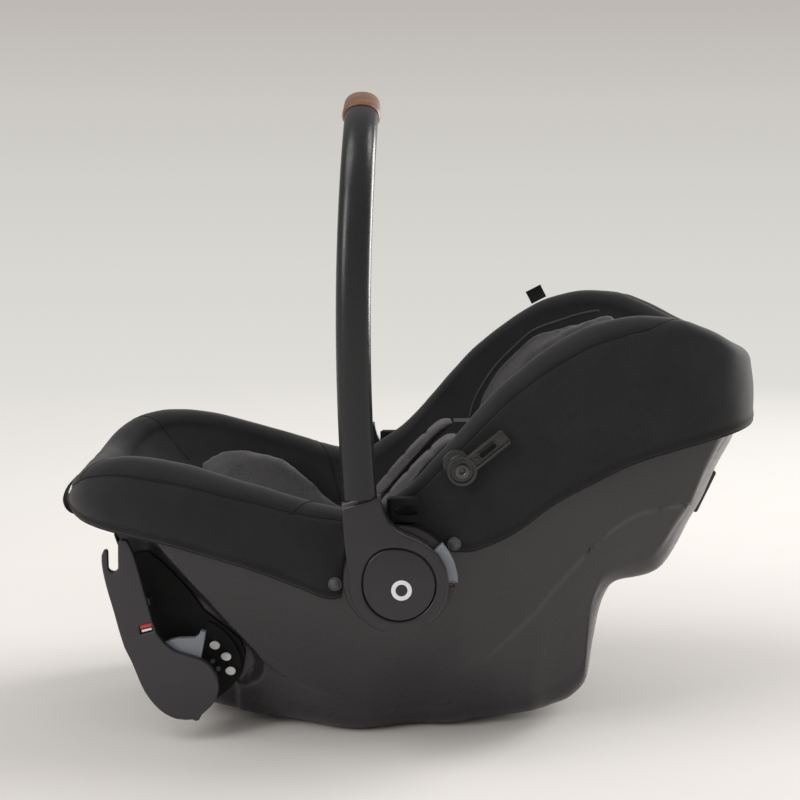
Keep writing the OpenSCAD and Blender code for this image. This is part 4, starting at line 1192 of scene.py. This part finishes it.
def build_headrest():
    f = np.linspace(0, 1, 40)
    inner = [headrest_row(t, False, 4) for t in f]
    outer = [headrest_row(t, True, 4) for t in f]
    ob = sheet_between("headrest_cushion", inner, outer)

    def still(p):
        n = ((p - np.array(on_back(0, 0, 0))) @ np.array([-math.sin(BACK_ANGLE), 0, math.cos(BACK_ANGLE)]))
        return (n < PAD_N + 6) * 1.0
    puff(ob, 4.5, 5.5, 4.0, still)
    lines = []
    for y in (-.60, .60):
        j = int(round((y + 1) / 2 * 40))
        lines.append([np.array(headrest_row(t, False, 0)[j]) for t in np.linspace(.03, .97, 30)])
    lines.append([np.array(headrest_row(.27, False, 0)[j]) for j in range(9, 32)])
    lines.append([np.array(headrest_row(.72, False, 0)[j]) for j in range(9, 32)])
    press_seams(ob, lines, 3.4, 4.6)
    cut_slots(ob)
    finish_piece(ob, "head", "headrest", ["headrest_pad"])
    for side, j in (("left", 40), ("right", 0)):
        line = [(np.array(headrest_row(t, True, 1.2)[j]) + np.array(headrest_row(t, False, 1.2)[j])) / 2
                for t in np.linspace(.04, .96, 50)]
        pipe = bead("headrest_piping_" + side, spline(line[::3], 4), 1.6)
        finish_piece(pipe, "seam", "headrest")
    return ob


def cut_slots(ob):
    """Openings for the shoulder straps, through the headrest."""
    cutters = []
    for y in (-50, 50):
        c = on_back(HEAD_FROM + 41, y, 25)
        bm = bmesh.new()
        bmesh.ops.create_cube(bm, size=1)
        bm.transform(Matrix.Translation(Vector(c * MM)) @ Matrix.Rotation(-BACK_ANGLE, 4, "Y")
                     @ Matrix.Diagonal((.010, .031, .09, 1)))
        me = bpy.data.meshes.new("cut")
        bm.to_mesh(me)
        bm.free()
        cut = bpy.data.objects.new("cut", me)
        bpy.context.scene.collection.objects.link(cut)
        cutters.append(cut)
    for cut in cutters:
        modifier(ob, "BOOLEAN", object=cut, operation="DIFFERENCE", solver="EXACT")
        apply_modifiers(ob, 45)
    for cut in cutters:
        bpy.data.objects.remove(cut, do_unlink=True)


# ---------- straps and harness ----------

def strap(name, path, width, t, body=None, material="webbing", side=None, nodes=(), edge=.5):
    """Flat ribbon along a path: rounded edges, its own map with metres across and along."""
    path = np.asarray(path, float)
    tangent = np.gradient(path, axis=0)
    tangent /= np.linalg.norm(tangent, axis=1)[:, None]
    across = np.array([0., 1., 0.]) if side is None else np.asarray(side, float)
    across = np.broadcast_to(across, path.shape).copy()
    across -= (across * tangent).sum(1)[:, None] * tangent
    across /= np.linalg.norm(across, axis=1)[:, None]
    up = np.cross(tangent, across)
    h, w = t / 2, width / 2
    section = [(-w, 0), (-w + edge * .4, h * .8), (-w + edge * 1.6, h), (-w / 2, h * .92), (0, h * .92),
               (w / 2, h * .92), (w - edge * 1.6, h), (w - edge * .4, h * .8), (w, 0)]
    section += [(x, -z) for x, z in reversed(section[1:-1])]
    rows = [path + across * a + up * b for a, b in section]
    rows = np.array(rows).transpose(1, 0, 2)
    m, n = rows.shape[:2]
    faces = grid_faces(m, n, wrap_n=True)
    faces += [tuple(reversed(range(n))), tuple(range((m - 1) * n, m * n))]
    ob = new_object(name, rows.reshape(-1, 3), faces, 50)
    length = np.concatenate([[0], np.cumsum(np.linalg.norm(np.diff(path, axis=0), axis=1))]) * MM
    uv = ob.data.uv_layers.new(name="map")
    for loop in ob.data.loops:
        i, j = divmod(loop.vertex_index, n)
        uv.data[loop.index].uv = (section[j][0] * MM * 10, length[i] * 1.0)
    merge(ob, .001)
    if body:
        finish_piece(ob, material, body, nodes)
    else:
        ob.data.materials.append(MAT[material])
    return ob


def pad_body(name, path, width, t, body, nodes, quilt=3, material="pads"):
    """Padded sleeve along a path, swollen as cloth, with sewn channels across it."""
    path = np.asarray(path, float)
    tangent = np.gradient(path, axis=0)
    tangent /= np.linalg.norm(tangent, axis=1)[:, None]
    across = np.array([0., 1., 0.])
    up = np.cross(tangent, across)
    a = np.linspace(0, 2 * math.pi, 28, endpoint=False)
    ca, sa = np.cos(a), np.sin(a)
    xs = np.sign(ca) * np.abs(ca)**.5 * (width / 2 - 3)
    zs = np.sign(sa) * np.abs(sa)**.8 * (t / 2 - 1.6)
    ends = np.minimum(1, np.minimum(np.arange(len(path)), np.arange(len(path))[::-1]) / 3 * .35 + .65)
    rows = (path[:, None] + across[None, None] * xs[None, :, None] * ends[:, None, None]
            + up[:, None] * zs[None, :, None] * ends[:, None, None])
    m, n = rows.shape[:2]
    faces = grid_faces(m, n, wrap_n=True) + [tuple(reversed(range(n))), tuple(range((m - 1) * n, m * n))]
    ob = new_object(name, rows.reshape(-1, 3), faces, 180)
    merge(ob, .001)
    puff(ob, 3.2, 3.0, 3.0, smooth=3)
    lines = []
    for k in range(1, quilt + 1):
        c = path[int(round(k / (quilt + 1) * (len(path) - 1)))]
        u = up[int(round(k / (quilt + 1) * (len(path) - 1)))]
        for s in (-1, 1):
            lines.append([c + u * s * t * .45 + across * w for w in np.linspace(-width * .42, width * .42, 12)])
    press_seams(ob, lines, 1.8, 2.6)
    finish_piece(ob, material, body, nodes)
    return ob


def pad_path():
    pts = [(62, 269), (49, 264), (30, 245), (5, 217), (-9, 201), (-22, 189)]
    return spline([(x, 0, z) for x, z in pts], 3)


def build_harness():
    gap = 100.0
    slot_out, slot_in = on_back(HEAD_FROM + 41, 0, PAD_N + 27), on_back(HEAD_FROM + 41, 0, PAD_N + 8)
    over = [slot_in, slot_out + np.array([0, 0, 0]), (118, 0, 263), (90, 0, 269), (63, 0, 269.5)]
    straps, pads = [], []
    for side, s in SIDES:
        y = s * gap / 2
        path = spline(over, 2.5) + np.array([0, y, 0])
        straps.append(strap("strap_" + side, path, 25, 1.6))
        path = pad_path() + np.array([0, y, 0])
        pad = pad_body("shoulder_pad_" + side, path, 50, 11, "headrest",
                       ["shoulder_pads"] if s > 0 else [])
        pads.append(pad)
    shoulder = join("shoulder_webbing", straps)
    finish_piece(shoulder, "webbing", "headrest", ["shoulder_straps"])
    hips = []
    for side, s in SIDES:
        y = s * .33 * gap
        path = spline([(-12, y * 1.2, 196), (-26, y * 1.04, 186), (-36, y * .9, 184.5), (-47, y * .72, 187)], 2)
        hips.append(strap("hip", path, 25, 1.6))
    hip = join("hip_webbing", hips)
    finish_piece(hip, "webbing", "seat", ["hip_straps"])
    laps = []
    for s in (1, -1):
        path = spline([(-36, s * 16, 178), (-33, s * 34, 177), (-30, s * 62, 169), (-27, s * 84, 160),
                       (-26, s * 98, 153)], 3)
        laps.append(strap("lap", path, 21, 1.6, side=(1, 0, 0)))
    lap = join("lap_webbing", laps)
    finish_piece(lap, "webbing", "seat", ["lap_straps"])
    path = spline([(-130, 0, 146.5), (-118, 0, 148), (-108, 0, 150), (-98, 0, 153)], 2)
    strap("crotch_webbing", path, 25, 1.6, "seat", nodes=["crotch_strap"])
    place = buckle_matrix()
    path = np.array([place @ Vector((x, 0, -11.3 + .6 * math.sin((x + 24) / 40 * math.pi)))
                     for x in np.linspace(-23, 15, 16)])
    pad_body("crotch_cushion", path, 50, 7.5, "seat", ["crotch_pad"], quilt=1)


def buckle_matrix():
    """The buckle's own directions, in millimetres: X up to the tongues, Z off the child."""
    return Matrix.Translation((-78, 0, HUB_Z - 1)) @ Matrix.Rotation(math.radians(-30), 4, "Y")


def slab(name, size, centre, bevel, place=None, segments=3, taper=0.0, smooth=40):
    """Rounded moulding: a box with bevelled edges whose top may be narrower than its foot."""
    bm = bmesh.new()
    bmesh.ops.create_cube(bm, size=1)
    for v in bm.verts:
        k = 1 - taper * (v.co.z + .5)
        v.co = Vector((v.co.x * size[0] * k, v.co.y * size[1] * k, v.co.z * size[2])) + Vector(centre)
    bmesh.ops.bevel(bm, geom=bm.edges[:], offset=bevel, segments=segments, profile=.6, affect="EDGES")
    bm.transform(place or Matrix.Identity(4))
    bm.transform(Matrix.Scale(MM, 4))
    me = bpy.data.meshes.new(name)
    bm.to_mesh(me)
    bm.free()
    ob = bpy.data.objects.new(name, me)
    bpy.context.scene.collection.objects.link(ob)
    shade(ob, smooth)
    return ob


def carve(ob, cutter, smooth=40):
    modifier(ob, "BOOLEAN", object=cutter, operation="DIFFERENCE", solver="EXACT")
    apply_modifiers(ob, smooth)
    bpy.data.objects.remove(cutter, do_unlink=True)
    return ob


def build_buckle():
    place = buckle_matrix()
    body = slab("buckle_housing", (48, 44, 14), (0, 0, 0), 4.2, place, 4)
    carve(body, slab("cut", (21, 21, 12), (.5, 0, 6.2), 2.2, place))
    carve(body, slab("cut", (16, 40, 3.6), (20, 0, -.5), .6, place))
    finish_piece(body, "black", "seat", ["buckle_body"])
    button = slab("buckle_press", (19.6, 19.6, 5), (.5, 0, 5.9), 1.6, place)
    ribs = [slab("rib", (1.1, 12, .9), (.5 + k * 3.1, 0, 8.35), .35, place, 2) for k in (-2, -1, 0, 1, 2)]
    finish_piece(join("buckle_push", [button] + ribs), "red", "buckle_button", ["buckle_button"])
    parts = []
    for s in (1, -1):
        tongue = slab("tongue", (14, 19, 2.4), (31, s * 11.5, -.5), .8, place)
        carve(tongue, slab("cut", (4, 13, 5), (33.4, s * 11.5, -.5), .9, place))
        grip = slab("grip", (5, 21, 4.6), (26.6, s * 11.5, -.5), 1.5, place)
        parts += [tongue, grip]
    finish_piece(join("tongues", parts), "dark_steel", "seat", ["buckle_tongues"])


def adjuster_matrix():
    x = -.775 * FOOT
    z = float(lining_z(x, 0.)) + 5
    tilt = math.atan2(float(lining_z(x - 15, 0.)) - float(lining_z(x + 15, 0.)), 30)
    return Matrix.Translation((x, 0, z)) @ Matrix.Rotation(tilt, 4, "Y")


def build_adjuster():
    place = adjuster_matrix()
    body = slab("adjuster", (40, 44, 12), (0, 0, 6), 3.2, place, 4)
    carve(body, slab("cut", (22, 32, 12), (-3, 0, 11), 2, place))
    carve(body, slab("cut", (60, 28, 2.4), (0, 0, 2.8), .5, place))
    finish_piece(body, "black", "seat", ["adjuster_body"])
    button = slab("adjuster_push", (20.6, 30.6, 4.4), (-3, 0, 10.8), 1.5, place)
    ribs = [slab("rib", (1.2, 20, .8), (-3 + k * 3.2, 0, 12.7), .3, place, 2) for k in (-2, -1, 0, 1, 2)]
    finish_piece(join("adjuster_press", [button] + ribs), "grey", "adjuster_button",
                 ["adjuster_button"])
    loop = spline([(-291, 0, 229.4), (-298, 0, 227.6), (-304, 0, 226.4), (-312, 0, 223), (-319, 0, 216),
                   (-323.4, 0, 207), (-324.2, 0, 200), (-321.4, 0, 193), (-315, 0, 188.6), (-307, 0, 190)], 1.5)
    ob = strap("adjuster_pull", loop, 25, 1.6, "seat", nodes=["adjuster_strap"])
    return ob


# ---------- handle ----------

def bow(z):
    return 30 * ((z - COLLAR_Z) / (TOP_Z - COLLAR_Z) - .42)**2 - 6


def handle_line(step=4.0):
    e = 2 / 3.5
    leg = [(TUBE_X + bow(z), TUBE_Y, z) for z in np.linspace(COLLAR_Z + 1.5, ARCH_Z, 24)[:-1]]
    rise = TOP_Z - TUBE_T / 2 - ARCH_Z
    arch = []
    for b in np.linspace(0, math.pi, 400):
        z = ARCH_Z + rise * max(0, math.sin(b))**e
        arch.append((TUBE_X + bow(z), math.copysign(TUBE_Y * abs(math.cos(b))**e, math.cos(b)), z))
    line = leg + arch + [(x, -y, z) for x, y, z in reversed(leg)]
    return resample(line, step=step)


def oval_tube(name, path, wide, thick, turns=28, power=2.25, caps=True):
    """Oval tube along the handle's line: wide front to back, thin side to side."""
    tangent = np.gradient(path, axis=0)
    tangent /= np.linalg.norm(tangent, axis=1)[:, None]
    side = np.cross(tangent, [1., 0, 0])
    side /= np.linalg.norm(side, axis=1)[:, None]
    across = np.cross(side, tangent)
    a = np.linspace(0, 2 * math.pi, turns, endpoint=False)
    ca = np.sign(np.cos(a)) * np.abs(np.cos(a))**(2 / power)
    sa = np.sign(np.sin(a)) * np.abs(np.sin(a))**(2 / power)
    wide, thick = np.broadcast_to(wide, len(path)), np.broadcast_to(thick, len(path))
    rows = (path[:, None] + across[:, None] * (ca[None] * wide[:, None] / 2)[..., None]
            + side[:, None] * (sa[None] * thick[:, None] / 2)[..., None])
    m, n = rows.shape[:2]
    faces = grid_faces(m, n, wrap_n=True)
    if caps:
        faces += [tuple(reversed(range(n))), tuple(range((m - 1) * n, m * n))]
    ob = new_object(name, rows.reshape(-1, 3), faces, 50)
    merge(ob, .001)
    return ob, rows


def build_handle():
    line = handle_line()
    tube, _ = oval_tube("carry_tube", line, TUBE_W, TUBE_T)
    finish_piece(tube, "handle", "handle", ["handle_tube"])
    reach = np.abs(line[:, 1]) < 125
    span = line[reach & (line[:, 2] > 500)]
    span = resample(span, step=2.2)
    n = len(span)
    end = np.minimum(np.arange(n), np.arange(n)[::-1])
    grow = 3.4 + 1.1 * np.exp(-((end - 2.2) / 1.6)**2) - 2.2 * np.exp(-(end / .8)**2)
    grow += .25 * hash_noise(span, 17, 2.0)
    sleeve, rows = oval_tube("grip_sleeve", span, TUBE_W + grow, TUBE_T + grow, turns=40, power=2.15)
    finish_piece(sleeve, "leather", "handle", ["handle_grip"])
    # seam along the underside, with a row of stitches each side of it
    under = rows[:, 10] if rows[len(rows) // 2, 10, 2] < rows[len(rows) // 2, 30, 2] else rows[:, 30]
    seam = bead("grip_seam", under[4:-4] + np.array([0, 0, .1]), .8)
    finish_piece(seam, "leather", "handle")
    for label, dx in (("front", -2.6), ("back", 2.6)):
        stitches("grip_stitch_" + label, under[4:-4] + np.array([dx, 0, .15]), "handle")
    return tube


# ---------- handle leg and hub ----------

def leg_outline(r=HUB_R):
    ring = circle(r, n=72, start=180, end=424)
    up_right = [(13.5, 41.8), (5.5, 44.8), (-2.5, 49.5), (-9, 56), (-13, 64), (-15.2, 72), (-16, 77.6)]
    up_left = [(-49.6, 68.6), (-49.2, 62), (-48.4, 50), (-47.2, 36), (-45.4, 20), (-43.6, 8)]
    return ring + up_right + up_left


def egg(r, grow=3.2, n=72):
    """Round cap drawn out to a soft point, up and towards the feet."""
    out = []
    for a in np.linspace(0, 360, n, endpoint=False):
        off = math.radians((a - 128 + 180) % 360 - 180)
        out.append(((r + grow * math.exp(-(off / .55)**2)) * math.cos(math.radians(a)),
                    (r + grow * math.exp(-(off / .55)**2)) * math.sin(math.radians(a))))
    return out


def wedge(r_in, r_out, a0, a1, n=20):
    return circle(r_out, n=n, start=a0, end=a1) + circle(r_in, n=n, start=a1, end=a0)


def pocket_outline():
    """The leg's inner half, cut back where the button slides."""
    ring = circle(HUB_R, n=60, start=180, end=352)
    notch = [(HUB_R * math.cos(math.radians(-8)), HUB_R * math.sin(math.radians(-8)))]
    notch += circle(34, n=16, start=-8, end=52)
    notch += [(HUB_R * math.cos(math.radians(52)), HUB_R * math.sin(math.radians(52)))]
    rest = circle(HUB_R, n=6, start=54, end=64) + leg_outline()[72:]
    return ring + notch + rest


def build_hub(side, s):
    inner = plate("inner", [pocket_outline(), list(reversed(circle(26, n=48)))], LEG_IN, 211.9, .6, (0, HUB_Z))
    outer = plate("outer", [leg_outline(), list(reversed(egg(31.8)))], 211.9, LEG_OUT, 2.2, (0, HUB_Z), smooth=50)
    floor_disc = plate("floor_disc", [egg(32.6)], 213, 216.4, .3, (0, HUB_Z))
    leg = join("leg_" + side, [inner, outer, floor_disc])
    cap = plate("cap", [egg(31.2)], 216.2, LEG_OUT + .6, 1.5, (0, HUB_Z), smooth=50)
    ring = plate("ring", [circle(9, 0, 0), list(reversed(circle(5.2, 0, 0)))], LEG_OUT - .4, LEG_OUT + 1.0, .35,
                 (2, HUB_Z - 4))
    button = plate("button", [rounded(wedge(39, 51.5, 0, 42), .6, 2)], 200.8, 210.8, 1.3, (0, HUB_Z), smooth=50)
    pieces = [(leg, "leg", "handle", "handle_plastic", ["handle_leg_" + side], "handle_leg_piece_" + side),
              (cap, "cap", "handle", "cap_plastic", ["hub_caps"], "hub_cap_" + side),
              (ring, "white", "handle", "white_plastic", ["hub_badges"], "hub_ring_" + side),
              (button, "grey", "handle_button_" + side, "grey_plastic", ["handle_button_" + side],
               "release_arc_" + side)]
    base = lathe("base", [(0, 182), (46, 182), (48.2, 183.5), (49, 186), (49, 196.6), (48.2, 198.4), (46.6, 199),
                          (0, 199)], (0, HUB_Z), turns=96)
    neck = lathe("neck", [(0, 168), (23.4, 168), (23.6, 182.5), (0, 182.5)], (0, HUB_Z), turns=64)
    stop = plate("stop", [rounded(wedge(44, 50.2, -21, -7), .8, 2)], 190, 199.2, .8, (0, HUB_Z))
    pieces.append((join("base", [base, neck, stop]), "leg", "seat", "shell_plastic", ["hub_base_" + side],
                   "hub_base_piece_" + side))
    for ob, material, body, slot, nodes, name in pieces:
        if s < 0:
            new = mirrored(ob, name)
            remove_piece(ob)
            ob = new
        ob.name = name
        finish_piece(ob, material, body, nodes)


# ---------- latch plates, pawls, marks ----------

PLATE = [(-48, 132.5), (-42.3, 118.8), (-32.8, 82), (-25.2, 51.8), (-21.1, 43.3), (-14.6, 34.7), (-5.5, 28),
         (7.2, 23.7), (19.1, 19.3), (27.2, 12.1), (32.4, 1), (33, -10.3), (27.6, -22), (17.2, -32.4)]
NUB = [(16.2, -34.2), (14.6, -37.4), (11.4, -38.4), (8.6, -36.8)]
PLATE_BACK = [(1.9, -37.2), (-9.5, -35), (-22.5, -26.4), (-35.3, -9.2), (-46.2, 18), (-53.9, 36), (-62.2, 68.1),
              (-67.2, 86.9), (-70.2, 101), (-71.6, 112), (-71.5, 119)]


def plate_outline():
    """Latch plate: a strap with a hook notch at its top and a round lower end with a small foot."""
    def soft(line):
        p = np.array(line, float)
        return [tuple(q) for q in spline(np.stack([p[:, 0], 0 * p[:, 0], p[:, 1]], 1), 2.6)[:, [0, 2]]]
    notch = [(-69.6, 123.4), (-66.6, 123.8), (-65.8, 121)] + circle(4.6, -61.3, 108, n=12, start=190, end=350)
    return soft(PLATE) + NUB + soft(PLATE_BACK) + notch + [(-56.6, 121), (-56.4, 130.6), (-53.6, 133.6)]


def build_latch(side, s):
    at = (LATCH_X, LATCH_Z)
    slit = rounded([(-37.6, 44.6), (-25.6, 47.8), (-28.2, 55), (-38.8, 52.2)], 1.0, 3)
    web = plate("plate", [plate_outline(), list(reversed(slit))], PLATE_Y - PLATE_T, PLATE_Y, 1.7, at, smooth=45)
    pad = plate("pad", [rounded([(-39.4, 42.8), (-24.6, 46.8), (-27.2, 57), (-40.6, 53.8)], 1, 2)],
                PLATE_Y - 7, PLATE_Y - 2.4, .3, at)
    piece = mirrored_piece(join("p", [web]), "latch_plate_" + side, s)
    finish_piece(piece, "plate", "seat", ["front_plate_" + side])
    finish_piece(mirrored_piece(pad, "indicator_well_" + side, s), "deep", "seat")
    red = plate("red", [rounded([(-37.4, 49.8), (-27, 52.4), (-27.8, 55.4), (-38.2, 52.8)], .5, 2)], PLATE_Y - 3,
                PLATE_Y - .2, .5, at)
    bar = plate("bar", [rounded([(-36.2, 46.6), (-27, 48.9), (-27.5, 51), (-36.8, 48.7)], .4, 2)], PLATE_Y - 3,
                PLATE_Y - .9, .4, at)
    finish_piece(mirrored_piece(red, "lock_flag_" + side, s), "red", "seat",
                 ["lock_indicators"])
    finish_piece(mirrored_piece(bar, "lock_bar_" + side, s), "white", "seat")
    blade = [(-17, 33.4), (-11, 36.6), (-4, 38.2), (4, 38.4), (11, 38.4), (14.6, 40.6), (17, 45.6), (21.4, 44.4),
             (20.4, 38), (18.4, 28), (16.6, 19), (13.2, 10), (10, 0), (0, -12), (-8, 4)]
    pawl = plate("blade", [blade], PLATE_Y - PLATE_T - 9, PLATE_Y - PLATE_T - .8, 1.3, at, smooth=45)
    lip = plate("lip", [[(13.4, 19), (15.2, 28), (16, 36), (15.4, 41), (17.2, 45.4), (21.2, 44.2), (20.2, 38),
                         (18.2, 28), (16.4, 19)]], PLATE_Y - PLATE_T - 3, PLATE_Y - PLATE_T - .3, .5, at)
    boss = lathe("boss", [(0, 119), (12.4, 119), (13, 120), (13, 129.6), (12.4, 130.4), (0, 130.4)], at)
    boss.location = (0, 0, 0)
    pawl = mirrored_piece(join("pawl", [pawl, lip, boss]), "pawl_" + side, s)
    finish_piece(pawl, "grey", "latch_pawls", ["latch_pawl_" + side])
    ring = plate("ring", [rounded(wedge(39.5, 53.5, 4, 66), 2, 3)], RECESS_Y + .3, RECESS_Y + 2.6, .6, at)
    finish_piece(mirrored_piece(ring, "mark_ring_" + side, s), "deep", "seat", ["index_rings"])
    dots = []
    for x, z in ((28.2, 25.9), (38.6, 14.9), (42.5, 1.1)):
        drop = [(x + 4.5 * math.cos(math.radians(b)) * (1 + .22 * max(0, math.cos(math.radians(b - 150)))),
                 z + 3.9 * math.sin(math.radians(b)) * (1 + .1 * max(0, math.cos(math.radians(b - 150)))))
                for b in range(0, 360, 10)]
        dots.append(plate("dot", [drop], RECESS_Y + 2.4, RECESS_Y + 5.2, 1.1, at, smooth=60))
    dot = mirrored_piece(join("dots", dots), "mark_dots_" + side, s)
    finish_piece(dot, "white", "seat", ["index_dots"])
    pits = [plate("pit", [circle(2.4, x, z, n=24)], RECESS_Y + 2.4, RECESS_Y + 4, .7, at)
            for x, z in ((25.4, 10.6), (30.4, 3.2))]
    finish_piece(mirrored_piece(join("pits", pits), "mark_pips_" + side, s), "stud", "seat")


# ---------- studs, belt guides, canopy mounts, label ----------

def build_studs(side, s):
    parts = []
    for x, dz in ((-56, -8), (50, 27.5)):
        depth = float(rim_z(x)) - HUB_Z - dz
        y = float(half_at(x, foot_lean(np.float64(x), depth)))
        dome = lathe("dome", [(0, y + .5), (6.2, y + .5), (6.3, y + 2.4), (5.9, y + 3.3), (5.2, y + 3.5),
                              (4.9, y + 3.1), (4.4, y + 3.3), (3.2, y + 4.1), (1.6, y + 4.5), (0, y + 4.6)], (x, HUB_Z + dz), turns=40)
        parts.append(dome)
    piece = mirrored_piece(join("studs", parts), "cover_snaps_" + side, s)
    finish_piece(piece, "stud", "seat", ["cover_studs"])


def build_guide(side, s):
    frame_loop = rounded([(-8, 50), (18, 50), (18, 57), (0, 57), (-3, 58.5), (-3, 63.5), (0, 65), (18, 65), (18, 72),
                          (-8, 72)], 1.4, 3)
    guide = plate("guide", [frame_loop], 182, 195, 1.2, (0, HUB_Z))
    rib = plate("rib", [rounded(box_outline(3, 14, -8.6, 64), .8, 2)], 184, 193, .6, (0, HUB_Z))
    piece = mirrored_piece(join("g", [guide, rib]), "belt_hook_" + side, s)
    finish_piece(piece, "deep", "seat", ["belt_guide_" + side])


CANOPY = (56.0, 261.0)


def build_canopy(side, s):
    disc = lathe("disc", [(0, 179.5), (13.2, 179.5), (14, 180.4), (14, 184.2), (13.3, 185), (11.8, 185), (11.4, 184.6),
                          (0, 184.6)], CANOPY, turns=64)
    rivet = lathe("rivet", [(3, 184), (3, 191.4), (5.8, 191.4), (6.2, 192), (6.1, 192.6), (5.2, 193), (3.4, 193),
                            (2.4, 192.2), (2.2, 189), (0, 189)], CANOPY, turns=40)
    back = plate("back", [circle(12.2, -4.5, 5.5)], 179.5, 183, .8, CANOPY)
    mount = mirrored_piece(join("m", [disc, back]), "canopy_plate_" + side, s)
    finish_piece(mount, "bracket", "seat", ["canopy_mount_" + side])
    finish_piece(mirrored_piece(rivet, "canopy_rivet_" + side, s), "dark_steel", "seat")
    tilt = 39
    outline_ = (circle(13.5, n=40, start=34, end=326)
                + [(14, -7.5), (48, -7.5), (50, -5.5), (50, 5.5), (48, 7.5), (14, 7.5)])
    hole = list(reversed(circle(3.2, n=28)))
    slot = list(reversed(rounded(box_outline(17, 4.6, 29, 0), 2.2, 5)))
    web = plate("web", [outline_, hole, slot], 185.6, 188.2, .5, CANOPY, tilt)
    ribs = [plate("rib", [rounded([(11, z), (49.4, z), (49.4, z + 2.2 * k), (11, z + 2.2 * k)][::k], .5, 2)],
                  187.6, 191.2, .5, CANOPY, tilt) for z, k in ((-7.4, 1), (7.4, -1))]
    rim = plate("rim", [circle(13.4, n=56), list(reversed(circle(10.4, n=56)))], 187.6, 190.4, .6, CANOPY, tilt)
    slot_rim = plate("slot_rim", [rounded(box_outline(20, 7.4, 29, 0), 3.2, 5),
                                  list(reversed(rounded(box_outline(17.4, 4.8, 29, 0), 2.2, 5)))],
                     187.8, 189.4, .4, CANOPY, tilt)
    pip = plate("pip", [circle(1.9, 16.4, 0, n=24)], 187.8, 189.8, .6, CANOPY, tilt)
    arm = mirrored_piece(join("a", [web, rim, slot_rim, pip] + ribs), "canopy_bracket_" + side, s)
    finish_piece(arm, "bracket", "canopy_arm_" + side, ["canopy_arm_" + side])


def build_label():
    x0 = 163.0
    tilt = math.atan2(float(rim_z(x0 + 9)) - float(rim_z(x0 - 9)), 18)
    place = (Matrix.Translation((x0 - 9, HALF_W - ROLL_R, float(rim_z(x0)) - 1))
             @ Matrix.Rotation(-tilt, 4, "Y"))
    rows = []
    for z in np.linspace(1.6, 15.4, 14):
        lean_out = 1.1 * math.sin((z - 1.6) / 13.8 * 2.6)
        rows.append([place @ Vector((x, lean_out, z)) for x in np.linspace(.2, 17.8, 10)])
    ob = grid_object("maker_tab", rows)
    modifier(ob, "SOLIDIFY", thickness=1.1 * MM, offset=0)
    apply_modifiers(ob, 50)
    finish_piece(ob, "binding", "seat", ["label_tab"])
    fold = [place @ Vector((x, 1.1 * math.sin(2.6), 15.2)) for x in np.linspace(.3, 17.7, 8)]
    edge = bead("maker_tab_fold", fold, .9)
    finish_piece(edge, "binding", "seat")


# ---------- release at the back ----------

def release_matrix():
    return Matrix.Translation((.893 * HEAD, 0, 1.29 * HUB_Z)) @ Matrix.Rotation(math.radians(115), 4, "Y")


def build_release():
    place = release_matrix()
    carve(bpy.data.objects["rocker_shell"], slab("cut", (46, 112, 44), (0, 0, -6), 1, place, 2), 60)
    bezel = slab("bezel", (44.6, 110.6, 12), (0, 0, -6), 3, place, 4)
    carve(bezel, slab("cut", (36, 102, 20), (0, 0, -6), 2.4, place))
    finish_piece(bezel, "black", "seat", ["release_bezel"])
    lever = slab("lever", (34, 100.6, 6), (.2, 0, -7), 2.2, place, 4)
    ribs = [slab("rib", (1.4, 70, 1.1), (4 + 3.4 * k, 0, -3.9), .45, place, 2) for k in range(-1, 4)]
    finish_piece(join("squeeze_lever", [lever] + ribs), "grey", "release_lever", ["release_lever"])


def build_headrest_hardware():
    place = (Matrix.Translation(Vector(on_back(HEAD_FROM + HEAD_LEN + 1, 0, PAD_N + 6)))
             @ Matrix.Rotation(-BACK_ANGLE, 4, "Y"))
    lever = slab("lift_bar", (9, 56, 12), (4.5, 0, 6), 2.6, place, 4)
    finish_piece(lever, "grey", "headrest_lever", ["headrest_lever"])


CARRIED = {
    "seat_bucket": "bucket", "foam_liner": "foam", "seat_posts": "shell", "post_screws": "steel",
    "cross_tubes": "steel", "plate_studs": "steel", "pawl_shaft": "steel", "pawl_springs": "steel",
    "release_pin": "steel", "release_cable": "black", "lock_gears": "dark_steel", "hub_pins": "steel",
    "button_springs": "steel", "headrest_rail": "black", "headrest_shell": "bucket",
}

for node, material in CARRIED.items():
    paint_node(node, material)
build_insert()
build_headrest()
build_harness()
build_buckle()
build_adjuster()
build_handle()
for side_name, sign in SIDES:
    build_hub(side_name, sign)
    build_latch(side_name, sign)
    build_studs(side_name, sign)
    build_guide(side_name, sign)
    build_canopy(side_name, sign)
build_label()
build_release()
build_headrest_hardware()
